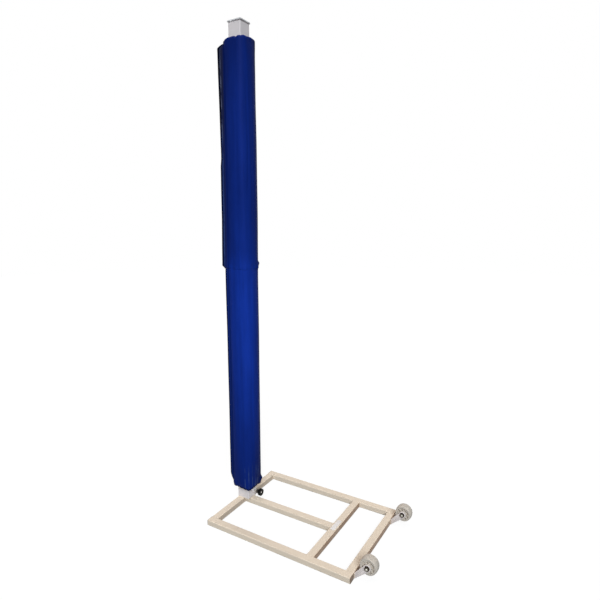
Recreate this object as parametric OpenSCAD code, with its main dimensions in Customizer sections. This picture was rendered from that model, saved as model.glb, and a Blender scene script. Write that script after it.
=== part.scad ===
// Portable padded volleyball post: a square steel post with two foam wraps,
// standing on a spigot of a welded base frame that tips back onto two wheels.
// Origin: on the floor under the post's axis. X runs along the frame towards
// the wheels, Y across it, Z up. Millimetres.

/* [Post] */
// Height of the post's top above the floor
post_top = 2556; // [2350:2:2700]
// Outside width of the square post tube
post_side = 75; // [66:1:76]
// Wall of the post tube
post_wall = 3; // [2:0.5:4]
// Outside corner radius of the post tube
post_corner = 4; // [4:0.5:6]
// Width of the cap plate on top of the post
cap_side = 83; // [78:1:84]
// Thickness of the cap plate
cap_plate = 7; // [4:0.5:9]
// Depth of the cap's plug inside the post
cap_plug_depth = 24; // [15:1:40]
// Wall of the cap's hollow plug
cap_plug_wall = 3; // [2:0.5:4]
// Width of the cord notch in the cap's edge
notch_width = 7; // [4:0.5:10]
// Depth of the cord notch
notch_depth = 3.5; // [2:0.5:4]
// Distance of the cord notch from the post's axis, towards the frame's front
notch_offset = 18; // [5:1:24]

/* [Foot] */
// Thickness of the foot plate that is welded across the rails
foot_plate_t = 5; // [4:0.5:8]
// Height of the spigot above the foot plate
spigot_length = 350; // [200:10:500]
// Wall of the spigot tube
spigot_wall = 3; // [2:0.5:4]
// Gap between the spigot and the inside of the post, each side
spigot_gap = 0.25; // [0.2:0.05:1]

/* [Base frame] */
// Length of the frame over the side rails' end plugs
base_length = 828; // [780:2:900]
// Width of the frame over the side rails
base_width = 600; // [540:2:680]
// Width of the rail tubes
rail_width = 40; // [36:1:46]
// Height of the rail tubes
rail_height = 30; // [28:1:36]
// Wall of the rail tubes
rail_wall = 2; // [1.5:0.5:3]
// Outside corner radius of the rail tubes
rail_corner = 4; // [4:0.5:6]
// Distance from the post's axis to the frame's front edge
front_reach = 37.5; // [36:0.5:45]
// Clear length of the bay between the cross rail and the rear rail
rear_bay = 166; // [120:2:220]
// Thickness of an end plug's flange
plug_flange = 2; // [1.5:0.5:4]
// Depth of an end plug inside its rail
plug_depth = 18; // [10:1:30]
// Wall of an end plug's hollow insert
plug_wall = 2; // [1.5:0.5:3]

/* [Wheels] */
// Diameter of a wheel at the middle of its tread
wheel_d = 84; // [76:1:96]
// Width of a wheel
wheel_width = 40; // [34:1:42]
// Height of the axles above the floor
axle_height = 76; // [66:1:84]
// Distance of the axles behind the rear rail
axle_setback = 61.5; // [58:0.5:75]
// Distance from the frame's side to the wheel bracket's outer plate
bracket_inset = 42; // [40:1:60]
// Thickness of a bracket plate
bracket_t = 4; // [3:0.5:6]
// Radius of the bracket plate's eye round the axle
bracket_eye_r = 16; // [13:0.5:17]
// Gap between a wheel and its bracket plates
wheel_side_gap = 4; // [3:0.5:6]
// How far the tread's edge lies below its crown
tread_crown = 3; // [1:0.5:5]
// Radius of the wheel's hub
hub_r = 15; // [14:0.5:17]
// Thickness of the wheel's rim at the recess
rim_t = 9; // [7:0.5:10]
// Depth of the recess in each wheel face
recess_depth = 11; // [6:0.5:13]
// Number of ribs in each recess
rib_count = 8; // [5:1:12]
// Thickness of a rib
rib_t = 3; // [2:0.5:4]
// Diameter of the axle bolts
axle_d = 12; // [10:1:12]
// Running gap between the bolt and the wheel's bush
bush_gap = 0.05; // [0.02:0.01:0.1]
// Wall of the wheel's bush
bush_wall = 3; // [2:0.5:4]
// Play between the bush and each bracket plate
bush_play = 0.2; // [0.1:0.05:0.5]
// Gap round the bolt in the bracket plates
bolt_hole_gap = 0.1; // [0.05:0.05:0.5]
// Width across the flats of the axle nut and bolt head
axle_nut_af = 19; // [18:0.5:21]
// Thickness of the axle nut
axle_nut_t = 8; // [6:0.5:11]
// Thickness of the bolt head
bolt_head_t = 7; // [5:0.5:9]
// Radius of the washer under the nut
axle_washer_r = 12; // [11:0.5:14]
// Thickness of the washer under the nut
axle_washer_t = 2; // [1:0.5:3]
// Length of the bolt that stands past the nut
bolt_end = 2; // [1:0.5:5]

/* [Post lock] */
// Height of the lock knob's axis above the floor
lock_height = 76; // [70:1:82]
// Diameter of the threaded stud
stud_d = 12; // [10:1:14]
// Gap between the stud and the boss's thread crest
stud_gap = 0.05; // [0.02:0.01:0.1]
// Diameter of the boss that is welded to the post
boss_d = 26; // [24:1:30]
// Length of the boss
boss_length = 14; // [13:1:20]
// Depth of the counterbore in the boss that takes the pressure pad
boss_recess = 6; // [5.5:0.5:8]
// Diameter of the pressure pad at the stud's tip
pad_tip_d = 13; // [11:0.5:15]
// Gap round the pressure pad in its hole
pad_tip_gap = 0.5; // [0.3:0.1:1]
// Diameter of the stud's swivel pin in the pressure pad
swivel_d = 5; // [4:0.5:6]
// Length of the swivel pin
swivel_length = 1.8; // [1:0.1:2.2]
// Distance from the post's face to the middle of the knob
knob_reach = 56; // [56:0.5:80]
// Diameter of the knob
knob_d = 40; // [34:1:46]
// Thickness of the knob's rim
knob_t = 15; // [12:1:18]
// Diameter of the knob's hub
knob_hub_d = 22; // [20:1:26]
// Length of the knob's hub
knob_hub_length = 8; // [4:1:10]
// Number of finger grooves round the knob
knob_grooves = 10; // [6:1:14]
// Radius of a finger groove
knob_groove_r = 5; // [3:0.5:7]
// Depth of a finger groove
knob_groove_depth = 1.4; // [0.8:0.1:2]
// Radius of the dish in the knob's face
knob_dish_r = 9; // [8:0.5:12]
// Depth of the dish in the knob's face
knob_dish_depth = 3; // [1:0.5:5]
// Width across the flats of the jam nut
jam_nut_af = 22; // [19:0.5:24]
// Thickness of the jam nut
jam_nut_t = 9; // [6:0.5:10]

/* [Pads] */
// Width of a pad across its flat sides
pad_side = 130; // [120:1:140]
// Radius of a pad's corners
pad_corner = 40; // [36:1:46]
// Gap between the post and the pads' lining
pad_gap = 0.3; // [0.2:0.1:1]
// Thickness of the pads' lining
lining_t = 1.8; // [1:0.1:3]
// Thickness of the pads' cover over the foam
cover_t = 2.2; // [1.8:0.1:3]
// Height of the lower pad's hem above the floor
lower_pad_bottom = 98; // [98:1:140]
// Height at which the upper pad stands on the lower pad
pad_split = 1344; // [1250:2:1450]
// Length of bare post between the upper pad and the post's top
head_length = 86; // [60:2:200]
// How far the flap of the lower pad stands out from its corner
lower_flap = 15; // [13:0.5:22]
// How far the flap of the upper pad stands out from its corner
upper_flap = 30; // [26:0.5:36]
// Rounding of the upper pad's top edge
top_round = 16; // [10:1:20]
// How far the lower pad is drawn in at its hem
hem_draw = 9; // [6:0.5:12]
// Height over which the lower pad is drawn in
hem_height = 95; // [80:1:120]
// Depth of the gathers at the hem
gather_depth = 1.6; // [0.5:0.1:2.5]
// How far both pads swell where they meet
meet_swell = 3.5; // [0:0.5:5]
// Thickness of the hook-and-loop strip in the flaps
strip_t = 2.4; // [2:0.1:3]

/* [Label] */
// Width of the blank label on the cross rail
label_width = 24; // [16:1:28]
// Length of the blank label
label_length = 90; // [60:1:110]
// Thickness of the label
label_t = 0.5; // [0.3:0.1:1]
// Distance of the label's middle from the frame's centre line
label_offset = 9; // [0:1:20]

/* [Hidden] */
$fn = 64;

// Colours
frame_paint = [0.88, 0.82, 0.74];
post_paint = [0.80, 0.80, 0.80];
vinyl_blue = [0.07, 0.15, 0.45];
foam_grey = [0.55, 0.55, 0.58];
wheel_grey = [0.76, 0.74, 0.70];
bracket_grey = [0.78, 0.77, 0.76];
dark_steel = [0.22, 0.20, 0.18];
bright_steel = [0.72, 0.72, 0.72];
black_plastic = [0.05, 0.05, 0.05];
label_white = [0.95, 0.95, 0.95];

// A cut that must pass a face runs past it by this much.
over = 1;
bolt_fn = 6;

// Frame lines along X
front_x = -front_reach;
rear_x = front_x + base_length;
rail_start_x = front_x + plug_flange;
rail_end_x = rear_x - plug_flange;
rear_rail_x = rear_x - rail_width;
cross_rail_x = rear_rail_x - rear_bay - rail_width;
middle_rail_x = front_x + rail_width;
side_y = base_width / 2;
inner_y = side_y - rail_width;
rail_r = rail_corner;

// Foot
foot_top = rail_height + foot_plate_t;
post_inner = post_side - 2 * post_wall;
spigot_side = post_inner - 2 * spigot_gap;
spigot_r = post_corner;
cap_bottom = post_top - cap_plate;

// Post lock, along X
post_face_x = post_side / 2;
spigot_face_x = spigot_side / 2;
pad_tip_end_x = post_face_x;
boss_end_x = post_face_x + boss_length;
knob_face_x = post_face_x + knob_reach + knob_t / 2;
knob_back_x = knob_face_x - knob_t;
knob_hub_x = knob_back_x - knob_hub_length;
jam_nut_x = knob_hub_x - jam_nut_t;
stud_end_x = knob_face_x - knob_dish_depth;
pad_tip_hole_d = pad_tip_d + 2 * pad_tip_gap;

// Wheels
axle_x = rear_x + axle_setback;
fork_inside = wheel_width + 2 * wheel_side_gap;
fork_middle_y = side_y - bracket_inset - bracket_t - fork_inside / 2;
bush_length = fork_inside - 2 * bush_play;
bush_bore_r = axle_d / 2 + bush_gap;
bush_r = bush_bore_r + bush_wall;
recess_outer_r = wheel_d / 2 - tread_crown - rim_t;

// Pads
upper_pad_top = post_top - head_length;
lining_side = post_side + 2 * pad_gap;
foam_bore = lining_side + 2 * lining_t;
foam_side = pad_side - 2 * cover_t;
foam_corner = pad_corner - cover_t;
foam_end = 4;
foam_play = 0.1;
flap_angle = 225;
pad_corner_r = pad_side / sqrt(2) - pad_corner * (sqrt(2) - 1);
strip_play = 0.1;
strip_root = pad_corner_r - 2;
strip_tip_wall = 3;

// ---------- shared shapes ----------

// A rectangle with round corners, centred.
module rounded_rect(w, h, r) {
  square([w - 2 * r, h], center = true);
  square([w, h - 2 * r], center = true);
  for (sx = [-1, 1], sy = [-1, 1])
    translate([sx * (w / 2 - r), sy * (h / 2 - r)])
      circle(r = r);
}

// The wall of a tube: a rounded rectangle with a smaller one cut out.
module tube_section(w, h, wall, r) {
  difference() {
    rounded_rect(w, h, r);
    rounded_rect(w - 2 * wall, h - 2 * wall, r - wall / 2);
  }
}

// A rail along X from x0 to x1, standing on the floor, its middle at y.
module rail_along_x(x0, x1, y) {
  translate([x0, y, rail_height / 2])
    rotate([90, 0, 90])
      linear_extrude(height = x1 - x0)
        tube_section(rail_width, rail_height, rail_wall, rail_r);
}

// A rail along Y between the side rails, its front face at x0.
module rail_along_y(x0) {
  translate([x0 + rail_width / 2, inner_y, rail_height / 2])
    rotate([90, 0, 0])
      linear_extrude(height = 2 * inner_y)
        tube_section(rail_width, rail_height, rail_wall, rail_r);
}

// A plug in a side rail's end: a flange and a hollow insert that points along dir.
module end_plug(x, side, dir) {
  insert_w = rail_width - 2 * rail_wall;
  insert_h = rail_height - 2 * rail_wall;
  insert_r = rail_r - rail_wall / 2;
  translate([x, side * (side_y - rail_width / 2), rail_height / 2])
    rotate([90, 0, dir > 0 ? 90 : -90]) {
      translate([0, 0, -plug_flange])
        linear_extrude(height = plug_flange)
          rounded_rect(rail_width, rail_height, rail_r);
      linear_extrude(height = plug_depth)
        tube_section(insert_w, insert_h, plug_wall, insert_r);
    }
}

// A hexagonal nut or bolt head along +Z.
module hexagon(af, t) {
  cylinder(d = af / cos(30), h = t, $fn = bolt_fn);
}

// ---------- base frame ----------

module front_rail() {
  color(frame_paint)
    rail_along_y(front_x);
}

module near_side_rail() {
  color(frame_paint)
    rail_along_x(rail_start_x, rail_end_x, -(side_y - rail_width / 2));
}

module far_side_rail() {
  color(frame_paint)
    rail_along_x(rail_start_x, rail_end_x, side_y - rail_width / 2);
}

module middle_rail() {
  color(frame_paint)
    rail_along_x(middle_rail_x, cross_rail_x, 0);
}

module cross_rail() {
  color(frame_paint)
    rail_along_y(cross_rail_x);
}

module rear_rail() {
  color(frame_paint)
    rail_along_y(rear_rail_x);
}

module near_front_plug() {
  color(black_plastic)
    end_plug(rail_start_x, -1, 1);
}

module near_rear_plug() {
  color(black_plastic)
    end_plug(rail_end_x, -1, -1);
}

module far_front_plug() {
  color(black_plastic)
    end_plug(rail_start_x, 1, 1);
}

module far_rear_plug() {
  color(black_plastic)
    end_plug(rail_end_x, 1, -1);
}

module label() {
  label_x = cross_rail_x + rail_width / 2 - label_width / 2;
  color(label_white)
    translate([label_x, label_offset - label_length / 2, rail_height])
      cube([label_width, label_length, label_t]);
}

// ---------- foot and post ----------

module foot_plate() {
  color(frame_paint)
    translate([0, 0, rail_height])
      linear_extrude(height = foot_plate_t)
        rounded_rect(post_side, post_side, post_corner);
}

module spigot() {
  color(frame_paint)
    translate([0, 0, foot_top])
      linear_extrude(height = spigot_length)
        tube_section(spigot_side, spigot_side, spigot_wall, spigot_r);
}

module post() {
  color(post_paint)
    difference() {
      translate([0, 0, foot_top])
        linear_extrude(height = cap_bottom - foot_top)
          tube_section(post_side, post_side, post_wall, post_corner);
      translate([post_inner / 2 - over, 0, lock_height])
        rotate([0, 90, 0])
          cylinder(d = pad_tip_hole_d, h = post_wall + 2 * over);
    }
}

module post_cap() {
  plug_r = post_corner - post_wall / 2;
  color(post_paint) {
    difference() {
      translate([0, 0, cap_bottom])
        linear_extrude(height = cap_plate)
          rounded_rect(cap_side, cap_side, post_corner);
      translate([-notch_offset - notch_width / 2, -cap_side / 2 - over, cap_bottom - over])
        cube([notch_width, notch_depth + over, cap_plate + 2 * over]);
    }
    translate([0, 0, cap_bottom - cap_plug_depth])
      linear_extrude(height = cap_plug_depth)
        tube_section(post_inner, post_inner, cap_plug_wall, plug_r);
  }
}

// ---------- pads ----------

// Distance from the axis to a rounded square's edge in the direction t.
function square_r(t, half, corner) =
  let (u = max(abs(cos(t)), abs(sin(t))),
       v = min(abs(cos(t)), abs(sin(t))),
       flat = half - corner)
  v * half <= u * flat
    ? half / u
    : flat * (u + v) + sqrt(corner * corner - pow(flat * (u - v), 2));

function smooth(x) = let (s = min(1, max(0, x))) s * s * (3 - 2 * s);

// The flap's profile round the corner: 1 at its middle, 0 at its root.
function flap_shape(t) =
  let (d = abs(t - flap_angle))
  d >= 11 ? 0 : pow(cos(d * 90 / 11), 1.4);

// Ring angles: even steps, and closer ones across the flap.
ring_step = 8;
ring_angles = concat([for (a = [-8, -5, -2.5, 2.5, 5, 8]) flap_angle + a],
                     [for (a = [ring_step * 2 : ring_step : 360 - ring_step * 2]) flap_angle + a]);
ring_n = len(ring_angles);

// A closed solid from rings of points at rising heights.
module ring_solid(rings) {
  levels = len(rings);
  side_faces = [for (k = [0 : levels - 2], j = [0 : ring_n - 1])
    let (a = k * ring_n + j,
         b = k * ring_n + (j + 1) % ring_n,
         c = a + ring_n,
         d = b + ring_n)
    each [[a, c, b], [b, c, d]]];
  bottom_face = [for (j = [0 : ring_n - 1]) j];
  top_face = [for (j = [ring_n - 1 : -1 : 0]) (levels - 1) * ring_n + j];
  polyhedron(points = [for (r = rings) each r],
             faces = concat(side_faces, [bottom_face], [top_face]));
}

// How far a pad stands out beyond its plain section at the height z.
function lower_swell(z) =
  meet_swell * smooth((z - lower_pad_bottom) / (pad_split - lower_pad_bottom) * 2 - 1)
  - hem_draw * pow(1 - smooth((z - lower_pad_bottom) / hem_height), 2)
  - 3 * pow(smooth((z - pad_split + 25) / 25), 2);

function lower_ring(z) =
  let (up = z - lower_pad_bottom,
       pull = 1 - smooth(up / hem_height),
       half = pad_side / 2 + lower_swell(z),
       corner = min(pad_corner, half - 20),
       flap = lower_flap * smooth((up - 20) / 60))
  [for (t = ring_angles)
    let (r = square_r(t, half, corner)
             + flap * flap_shape(t)
             + gather_depth * pull * cos(t * ring_n / 4))
    [r * cos(t), r * sin(t), z]];

lower_levels = concat([for (s = [0, 0.12, 0.26, 0.42, 0.6, 0.8, 1]) lower_pad_bottom + s * hem_height],
                      [for (s = [0.2 : 0.2 : 0.8])
                        lower_pad_bottom + hem_height
                        + s * (pad_split - lower_pad_bottom - hem_height)],
                      [pad_split - 25, pad_split - 10, pad_split]);

function upper_swell(z) =
  meet_swell * (1 - smooth((z - pad_split) / (upper_pad_top - pad_split) * 2))
  + 2 * smooth((z - pad_split) / (upper_pad_top - pad_split) * 3 - 2);

// The top edge is a quarter round.
function top_inset(z) =
  let (d = max(0, z - (upper_pad_top - top_round)))
  top_round - sqrt(max(0, top_round * top_round - d * d));

// The flap is widest at the pad's ends and slopes away at the top.
function upper_flap_at(z) =
  let (s = (z - pad_split) / (upper_pad_top - pad_split))
  (upper_flap - 8 * pow(sin(180 * s), 2)) * (1 - smooth((z - upper_pad_top + 45) / 40));

function upper_ring(z) =
  let (half = pad_side / 2 + upper_swell(z) - top_inset(z),
       corner = min(pad_corner, half - 18))
  [for (t = ring_angles)
    let (r = square_r(t, half, corner) + upper_flap_at(z) * flap_shape(t))
    [r * cos(t), r * sin(t), z]];

upper_levels = concat([pad_split, pad_split + 12],
                      [for (s = [0.12, 0.28, 0.42, 0.58, 0.74, 0.88])
                        pad_split + s * (upper_pad_top - pad_split)],
                      [for (s = [45, 30, 20]) upper_pad_top - s],
                      [for (a = [0, 30, 55, 75]) upper_pad_top - top_round + top_round * sin(a)],
                      [upper_pad_top]);

// The foam sleeve of a pad between two heights, grown by play for its cavity.
module foam_sleeve(z0, z1, play) {
  translate([0, 0, z0 - play])
    linear_extrude(height = z1 - z0 + 2 * play)
      difference() {
        rounded_rect(foam_side + 2 * play, foam_side + 2 * play, foam_corner);
        square([foam_bore - 2 * play, foam_bore - 2 * play], center = true);
      }
}

// The hook-and-loop strip in a flap, grown by play for its slot.
module flap_strip(flap, z0, z1, play) {
  strip_w = flap - (strip_root - pad_corner_r) - strip_tip_wall;
  rotate([0, 0, flap_angle])
    translate([strip_root - play, -strip_t / 2 - play, z0 - play])
      cube([strip_w + 2 * play, strip_t + 2 * play, z1 - z0 + 2 * play]);
}

lower_foam_z0 = lower_pad_bottom + hem_height;
lower_foam_z1 = pad_split - 25;
upper_foam_z0 = pad_split + foam_end;
upper_foam_z1 = upper_pad_top - top_round - foam_end;
lower_strip_z0 = lower_pad_bottom + hem_height;
lower_strip_z1 = pad_split - 40;
upper_strip_z0 = pad_split + 20;
upper_strip_z1 = upper_pad_top - 60;
lower_strip_flap = lower_flap;
upper_strip_flap = upper_flap - 8;

module pad_bore(z0, z1) {
  translate([-lining_side / 2, -lining_side / 2, z0 - over])
    cube([lining_side, lining_side, z1 - z0 + 2 * over]);
}

module lower_pad_cover() {
  color(vinyl_blue)
    difference() {
      ring_solid([for (z = lower_levels) lower_ring(z)]);
      pad_bore(lower_pad_bottom, pad_split);
      foam_sleeve(lower_foam_z0, lower_foam_z1, foam_play);
      flap_strip(lower_strip_flap, lower_strip_z0, lower_strip_z1, strip_play);
    }
}

module lower_pad_foam() {
  color(foam_grey)
    foam_sleeve(lower_foam_z0, lower_foam_z1, 0);
}

module lower_pad_strip() {
  color(black_plastic)
    flap_strip(lower_strip_flap, lower_strip_z0, lower_strip_z1, 0);
}

module upper_pad_cover() {
  color(vinyl_blue)
    difference() {
      ring_solid([for (z = upper_levels) upper_ring(z)]);
      pad_bore(pad_split, upper_pad_top);
      foam_sleeve(upper_foam_z0, upper_foam_z1, foam_play);
      flap_strip(upper_strip_flap, upper_strip_z0, upper_strip_z1, strip_play);
    }
}

module upper_pad_foam() {
  color(foam_grey)
    foam_sleeve(upper_foam_z0, upper_foam_z1, 0);
}

module upper_pad_strip() {
  color(black_plastic)
    flap_strip(upper_strip_flap, upper_strip_z0, upper_strip_z1, 0);
}

// ---------- post lock ----------

// Children are built along +Z and laid along +X at the lock's height.
module along_lock(x) {
  translate([x, 0, lock_height])
    rotate([0, 90, 0])
      children();
}

module lock_boss() {
  color(post_paint)
    along_lock(post_face_x)
      difference() {
        cylinder(d = boss_d, h = boss_length);
        translate([0, 0, -over])
          cylinder(d = pad_tip_hole_d, h = boss_recess + over);
        translate([0, 0, -over])
          cylinder(d = stud_d + 2 * stud_gap, h = boss_length + 2 * over);
      }
}

module pressure_pad() {
  pad_length = pad_tip_end_x - spigot_face_x;
  color(bright_steel)
    along_lock(spigot_face_x)
      difference() {
        cylinder(d = pad_tip_d, h = pad_length);
        translate([0, 0, pad_length - swivel_length])
          cylinder(d = swivel_d + 2 * stud_gap, h = swivel_length + over);
      }
}

module lock_stud() {
  color(bright_steel)
    along_lock(pad_tip_end_x) {
      cylinder(d = stud_d, h = stud_end_x - pad_tip_end_x);
      translate([0, 0, -swivel_length])
        cylinder(d = swivel_d, h = swivel_length + over);
    }
}

module jam_nut() {
  color(dark_steel)
    along_lock(jam_nut_x)
      difference() {
        hexagon(jam_nut_af, jam_nut_t);
        translate([0, 0, -over])
          cylinder(d = stud_d + 2 * stud_gap, h = jam_nut_t + 2 * over);
      }
}

module lock_knob() {
  groove_ring = knob_d / 2 + knob_groove_r - knob_groove_depth;
  color(black_plastic)
    along_lock(knob_hub_x)
      difference() {
        union() {
          cylinder(d = knob_hub_d, h = knob_hub_length);
          translate([0, 0, knob_hub_length])
            cylinder(d = knob_d, h = knob_t);
        }
        for (i = [0 : knob_grooves - 1])
          rotate([0, 0, i * 360 / knob_grooves])
            translate([groove_ring, 0, knob_hub_length - over])
              cylinder(r = knob_groove_r, h = knob_t + 2 * over);
        translate([0, 0, knob_hub_length + knob_t - knob_dish_depth])
          cylinder(r = knob_dish_r, h = knob_dish_depth + over);
        translate([0, 0, -over])
          cylinder(d = stud_d + 2 * stud_gap, h = knob_hub_length + knob_t + 2 * over);
      }
}

// ---------- wheels ----------

// The point where a line from p touches the eye of radius r at c, on the side s.
function eye_tangent(p, c, r, s) =
  let (d = c - p,
       reach = norm(d),
       along = sqrt(reach * reach - r * r),
       turn = atan2(d[1], d[0]) + s * asin(r / reach))
  p + along * [cos(turn), sin(turn)];

// A bracket plate from the rear rail's face up to its eye; its outer face at y.
module bracket_plate(y) {
  eye = [axle_x, axle_height];
  low = [rear_x, 0];
  high = [rear_x, rail_height];
  low_touch = eye_tangent(low, eye, bracket_eye_r, -1);
  high_touch = eye_tangent(high, eye, bracket_eye_r, 1);
  color(bracket_grey)
    translate([0, y + bracket_t, 0])
      rotate([90, 0, 0])
        difference() {
          linear_extrude(height = bracket_t)
            union() {
              polygon([low, low_touch, eye, high_touch, high]);
              translate(eye)
                circle(r = bracket_eye_r);
            }
          translate([eye[0], eye[1], -over])
            cylinder(d = axle_d + 2 * bolt_hole_gap, h = bracket_t + 2 * over);
        }
}

// Children are built along +Z and laid along +Y on the axle, starting at y.
module along_axle(y) {
  translate([axle_x, y, axle_height])
    rotate([-90, 0, 0])
      children();
}

// The bolt goes in from the +Y side, and its nut is on the -Y side.
module axle_bolt(middle_y) {
  half = fork_inside / 2 + bracket_t;
  shank = 2 * half + axle_washer_t + axle_nut_t + bolt_end;
  color(bright_steel)
    along_axle(middle_y + half - shank) {
      cylinder(d = axle_d, h = shank + over);
      translate([0, 0, shank])
        hexagon(axle_nut_af, bolt_head_t);
    }
}

module axle_washer(middle_y) {
  face_y = middle_y - fork_inside / 2 - bracket_t;
  color(dark_steel)
    along_axle(face_y - axle_washer_t)
      difference() {
        cylinder(r = axle_washer_r, h = axle_washer_t);
        translate([0, 0, -over])
          cylinder(d = axle_d + 2 * bolt_hole_gap, h = axle_washer_t + 2 * over);
      }
}

module axle_nut(middle_y) {
  face_y = middle_y - fork_inside / 2 - bracket_t - axle_washer_t;
  color(dark_steel)
    along_axle(face_y - axle_nut_t)
      difference() {
        hexagon(axle_nut_af, axle_nut_t);
        translate([0, 0, -over])
          cylinder(d = axle_d + 2 * stud_gap, h = axle_nut_t + 2 * over);
      }
}

module wheel_bush(middle_y) {
  color(dark_steel)
    along_axle(middle_y - bush_length / 2)
      difference() {
        cylinder(r = bush_r, h = bush_length);
        translate([0, 0, -over])
          cylinder(r = bush_bore_r, h = bush_length + 2 * over);
      }
}

// The tread's height over the edge at the distance w from the wheel's middle.
function tread_r(w) =
  wheel_d / 2 - tread_crown * pow(2 * abs(w) / wheel_width, 2.4);

module wheel(middle_y) {
  half = wheel_width / 2;
  tread = [for (w = [-half : wheel_width / 12 : half + 0.01]) [tread_r(w), w]];
  web = half - recess_depth;
  color(wheel_grey)
    along_axle(middle_y) {
      rotate_extrude()
        polygon(concat([[bush_r, -half], [hub_r, -half], [hub_r, -web],
                        [recess_outer_r, -web], [recess_outer_r, -half]],
                       tread,
                       [[recess_outer_r, half], [recess_outer_r, web],
                        [hub_r, web], [hub_r, half], [bush_r, half]]));
      for (side = [-1, 1], i = [0 : rib_count - 1])
        rotate([0, 0, i * 360 / rib_count])
          translate([hub_r - over, -rib_t / 2, side > 0 ? web - over : -half + over])
            cube([recess_outer_r - hub_r + 2 * over, rib_t, recess_depth]);
    }
}

module near_outer_bracket() {
  bracket_plate(-fork_middle_y - fork_inside / 2 - bracket_t);
}

module near_inner_bracket() {
  bracket_plate(-fork_middle_y + fork_inside / 2);
}

module near_axle_bolt() {
  axle_bolt(-fork_middle_y);
}

module near_axle_washer() {
  axle_washer(-fork_middle_y);
}

module near_axle_nut() {
  axle_nut(-fork_middle_y);
}

module near_wheel_bush() {
  wheel_bush(-fork_middle_y);
}

module near_wheel() {
  wheel(-fork_middle_y);
}

module far_inner_bracket() {
  bracket_plate(fork_middle_y - fork_inside / 2 - bracket_t);
}

module far_outer_bracket() {
  bracket_plate(fork_middle_y + fork_inside / 2);
}

module far_axle_bolt() {
  axle_bolt(fork_middle_y);
}

module far_axle_washer() {
  axle_washer(fork_middle_y);
}

module far_axle_nut() {
  axle_nut(fork_middle_y);
}

module far_wheel_bush() {
  wheel_bush(fork_middle_y);
}

module far_wheel() {
  wheel(fork_middle_y);
}

front_rail();
near_side_rail();
far_side_rail();
middle_rail();
cross_rail();
rear_rail();
near_front_plug();
near_rear_plug();
far_front_plug();
far_rear_plug();
foot_plate();
spigot();
post();
post_cap();
lower_pad_cover();
lower_pad_foam();
lower_pad_strip();
upper_pad_cover();
upper_pad_foam();
upper_pad_strip();
lock_boss();
pressure_pad();
lock_stud();
jam_nut();
lock_knob();
near_outer_bracket();
near_inner_bracket();
near_axle_bolt();
near_axle_washer();
near_axle_nut();
near_wheel_bush();
near_wheel();
far_inner_bracket();
far_outer_bracket();
far_axle_bolt();
far_axle_washer();
far_axle_nut();
far_wheel_bush();
far_wheel();
label();
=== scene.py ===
"""Pads, lock, wheels and finishes of a portable padded volleyball post."""

import math
from functools import cache

import bmesh
import bpy
import numpy as np
from bpy.props import FloatProperty, FloatVectorProperty, IntProperty, PointerProperty
from mathutils import Matrix, Vector


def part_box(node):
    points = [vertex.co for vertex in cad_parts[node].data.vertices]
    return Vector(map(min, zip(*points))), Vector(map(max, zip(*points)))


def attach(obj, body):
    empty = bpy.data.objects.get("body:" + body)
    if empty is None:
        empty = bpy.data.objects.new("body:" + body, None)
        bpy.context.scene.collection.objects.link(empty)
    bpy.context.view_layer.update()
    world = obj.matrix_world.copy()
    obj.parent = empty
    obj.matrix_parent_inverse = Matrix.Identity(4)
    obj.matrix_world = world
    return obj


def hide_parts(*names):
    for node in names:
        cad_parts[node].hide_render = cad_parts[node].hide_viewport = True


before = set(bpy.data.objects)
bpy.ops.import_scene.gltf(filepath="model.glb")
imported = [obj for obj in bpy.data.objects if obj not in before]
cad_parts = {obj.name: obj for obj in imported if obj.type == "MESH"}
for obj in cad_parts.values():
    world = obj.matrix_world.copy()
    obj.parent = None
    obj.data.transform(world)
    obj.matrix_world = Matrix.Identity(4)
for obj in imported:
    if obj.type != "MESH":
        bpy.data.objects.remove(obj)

bl_info = {
    "name": "Padded volleyball post",
    "version": (1, 0, 0),
    "blender": (4, 5, 0),
    "location": "View3D > Sidebar > Post",
    "description": "Models the pads, lock and wheels of a padded volleyball post and paints it",
    "category": "Object",
}

MM = 0.001
SIDES = ("near", "far")
RAILS = ("front_rail", "near_side_rail", "far_side_rail", "middle_rail", "cross_rail", "rear_rail")


# ---------- sizes and colours a user may change ----------


class PadSettings(bpy.types.PropertyGroup):
    vinyl_colour: FloatVectorProperty(
        name="Vinyl colour", description="Colour of the pads' coated cloth where it is brightest",
        default=(0.0082, 0.0415, 0.385), subtype="COLOR")
    side: FloatProperty(
        name="Pad width", description="Width of a pad across its flat sides",
        default=130 * MM, unit="LENGTH")
    corner: FloatProperty(
        name="Corner radius", description="Radius of a pad's upright corners",
        default=40 * MM, unit="LENGTH")
    lower_flap: FloatProperty(
        name="Lower flap", description="How far the lower pad's closing flap stands out",
        default=15 * MM, unit="LENGTH")
    upper_flap: FloatProperty(
        name="Upper flap", description="How far the upper pad's closing flap stands out",
        default=30 * MM, unit="LENGTH")
    bow: FloatProperty(
        name="Bow", description="How far a pad's flat sides bow outwards at their middles",
        default=2.6 * MM, unit="LENGTH")
    gathers: IntProperty(
        name="Gathers", description="Number of gathers round the lower pad's hem", default=27)
    gather_depth: FloatProperty(
        name="Gather depth", description="Depth of the gathers at the hem",
        default=1.7 * MM, unit="LENGTH")
    crease_depth: FloatProperty(
        name="Crease depth", description="Depth of the soft folds that run off the pads' edges",
        default=1.7 * MM, unit="LENGTH")
    puff: FloatProperty(
        name="Puff", description="Furthest that the cover may swell off its foam",
        default=5.0 * MM, unit="LENGTH")


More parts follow.
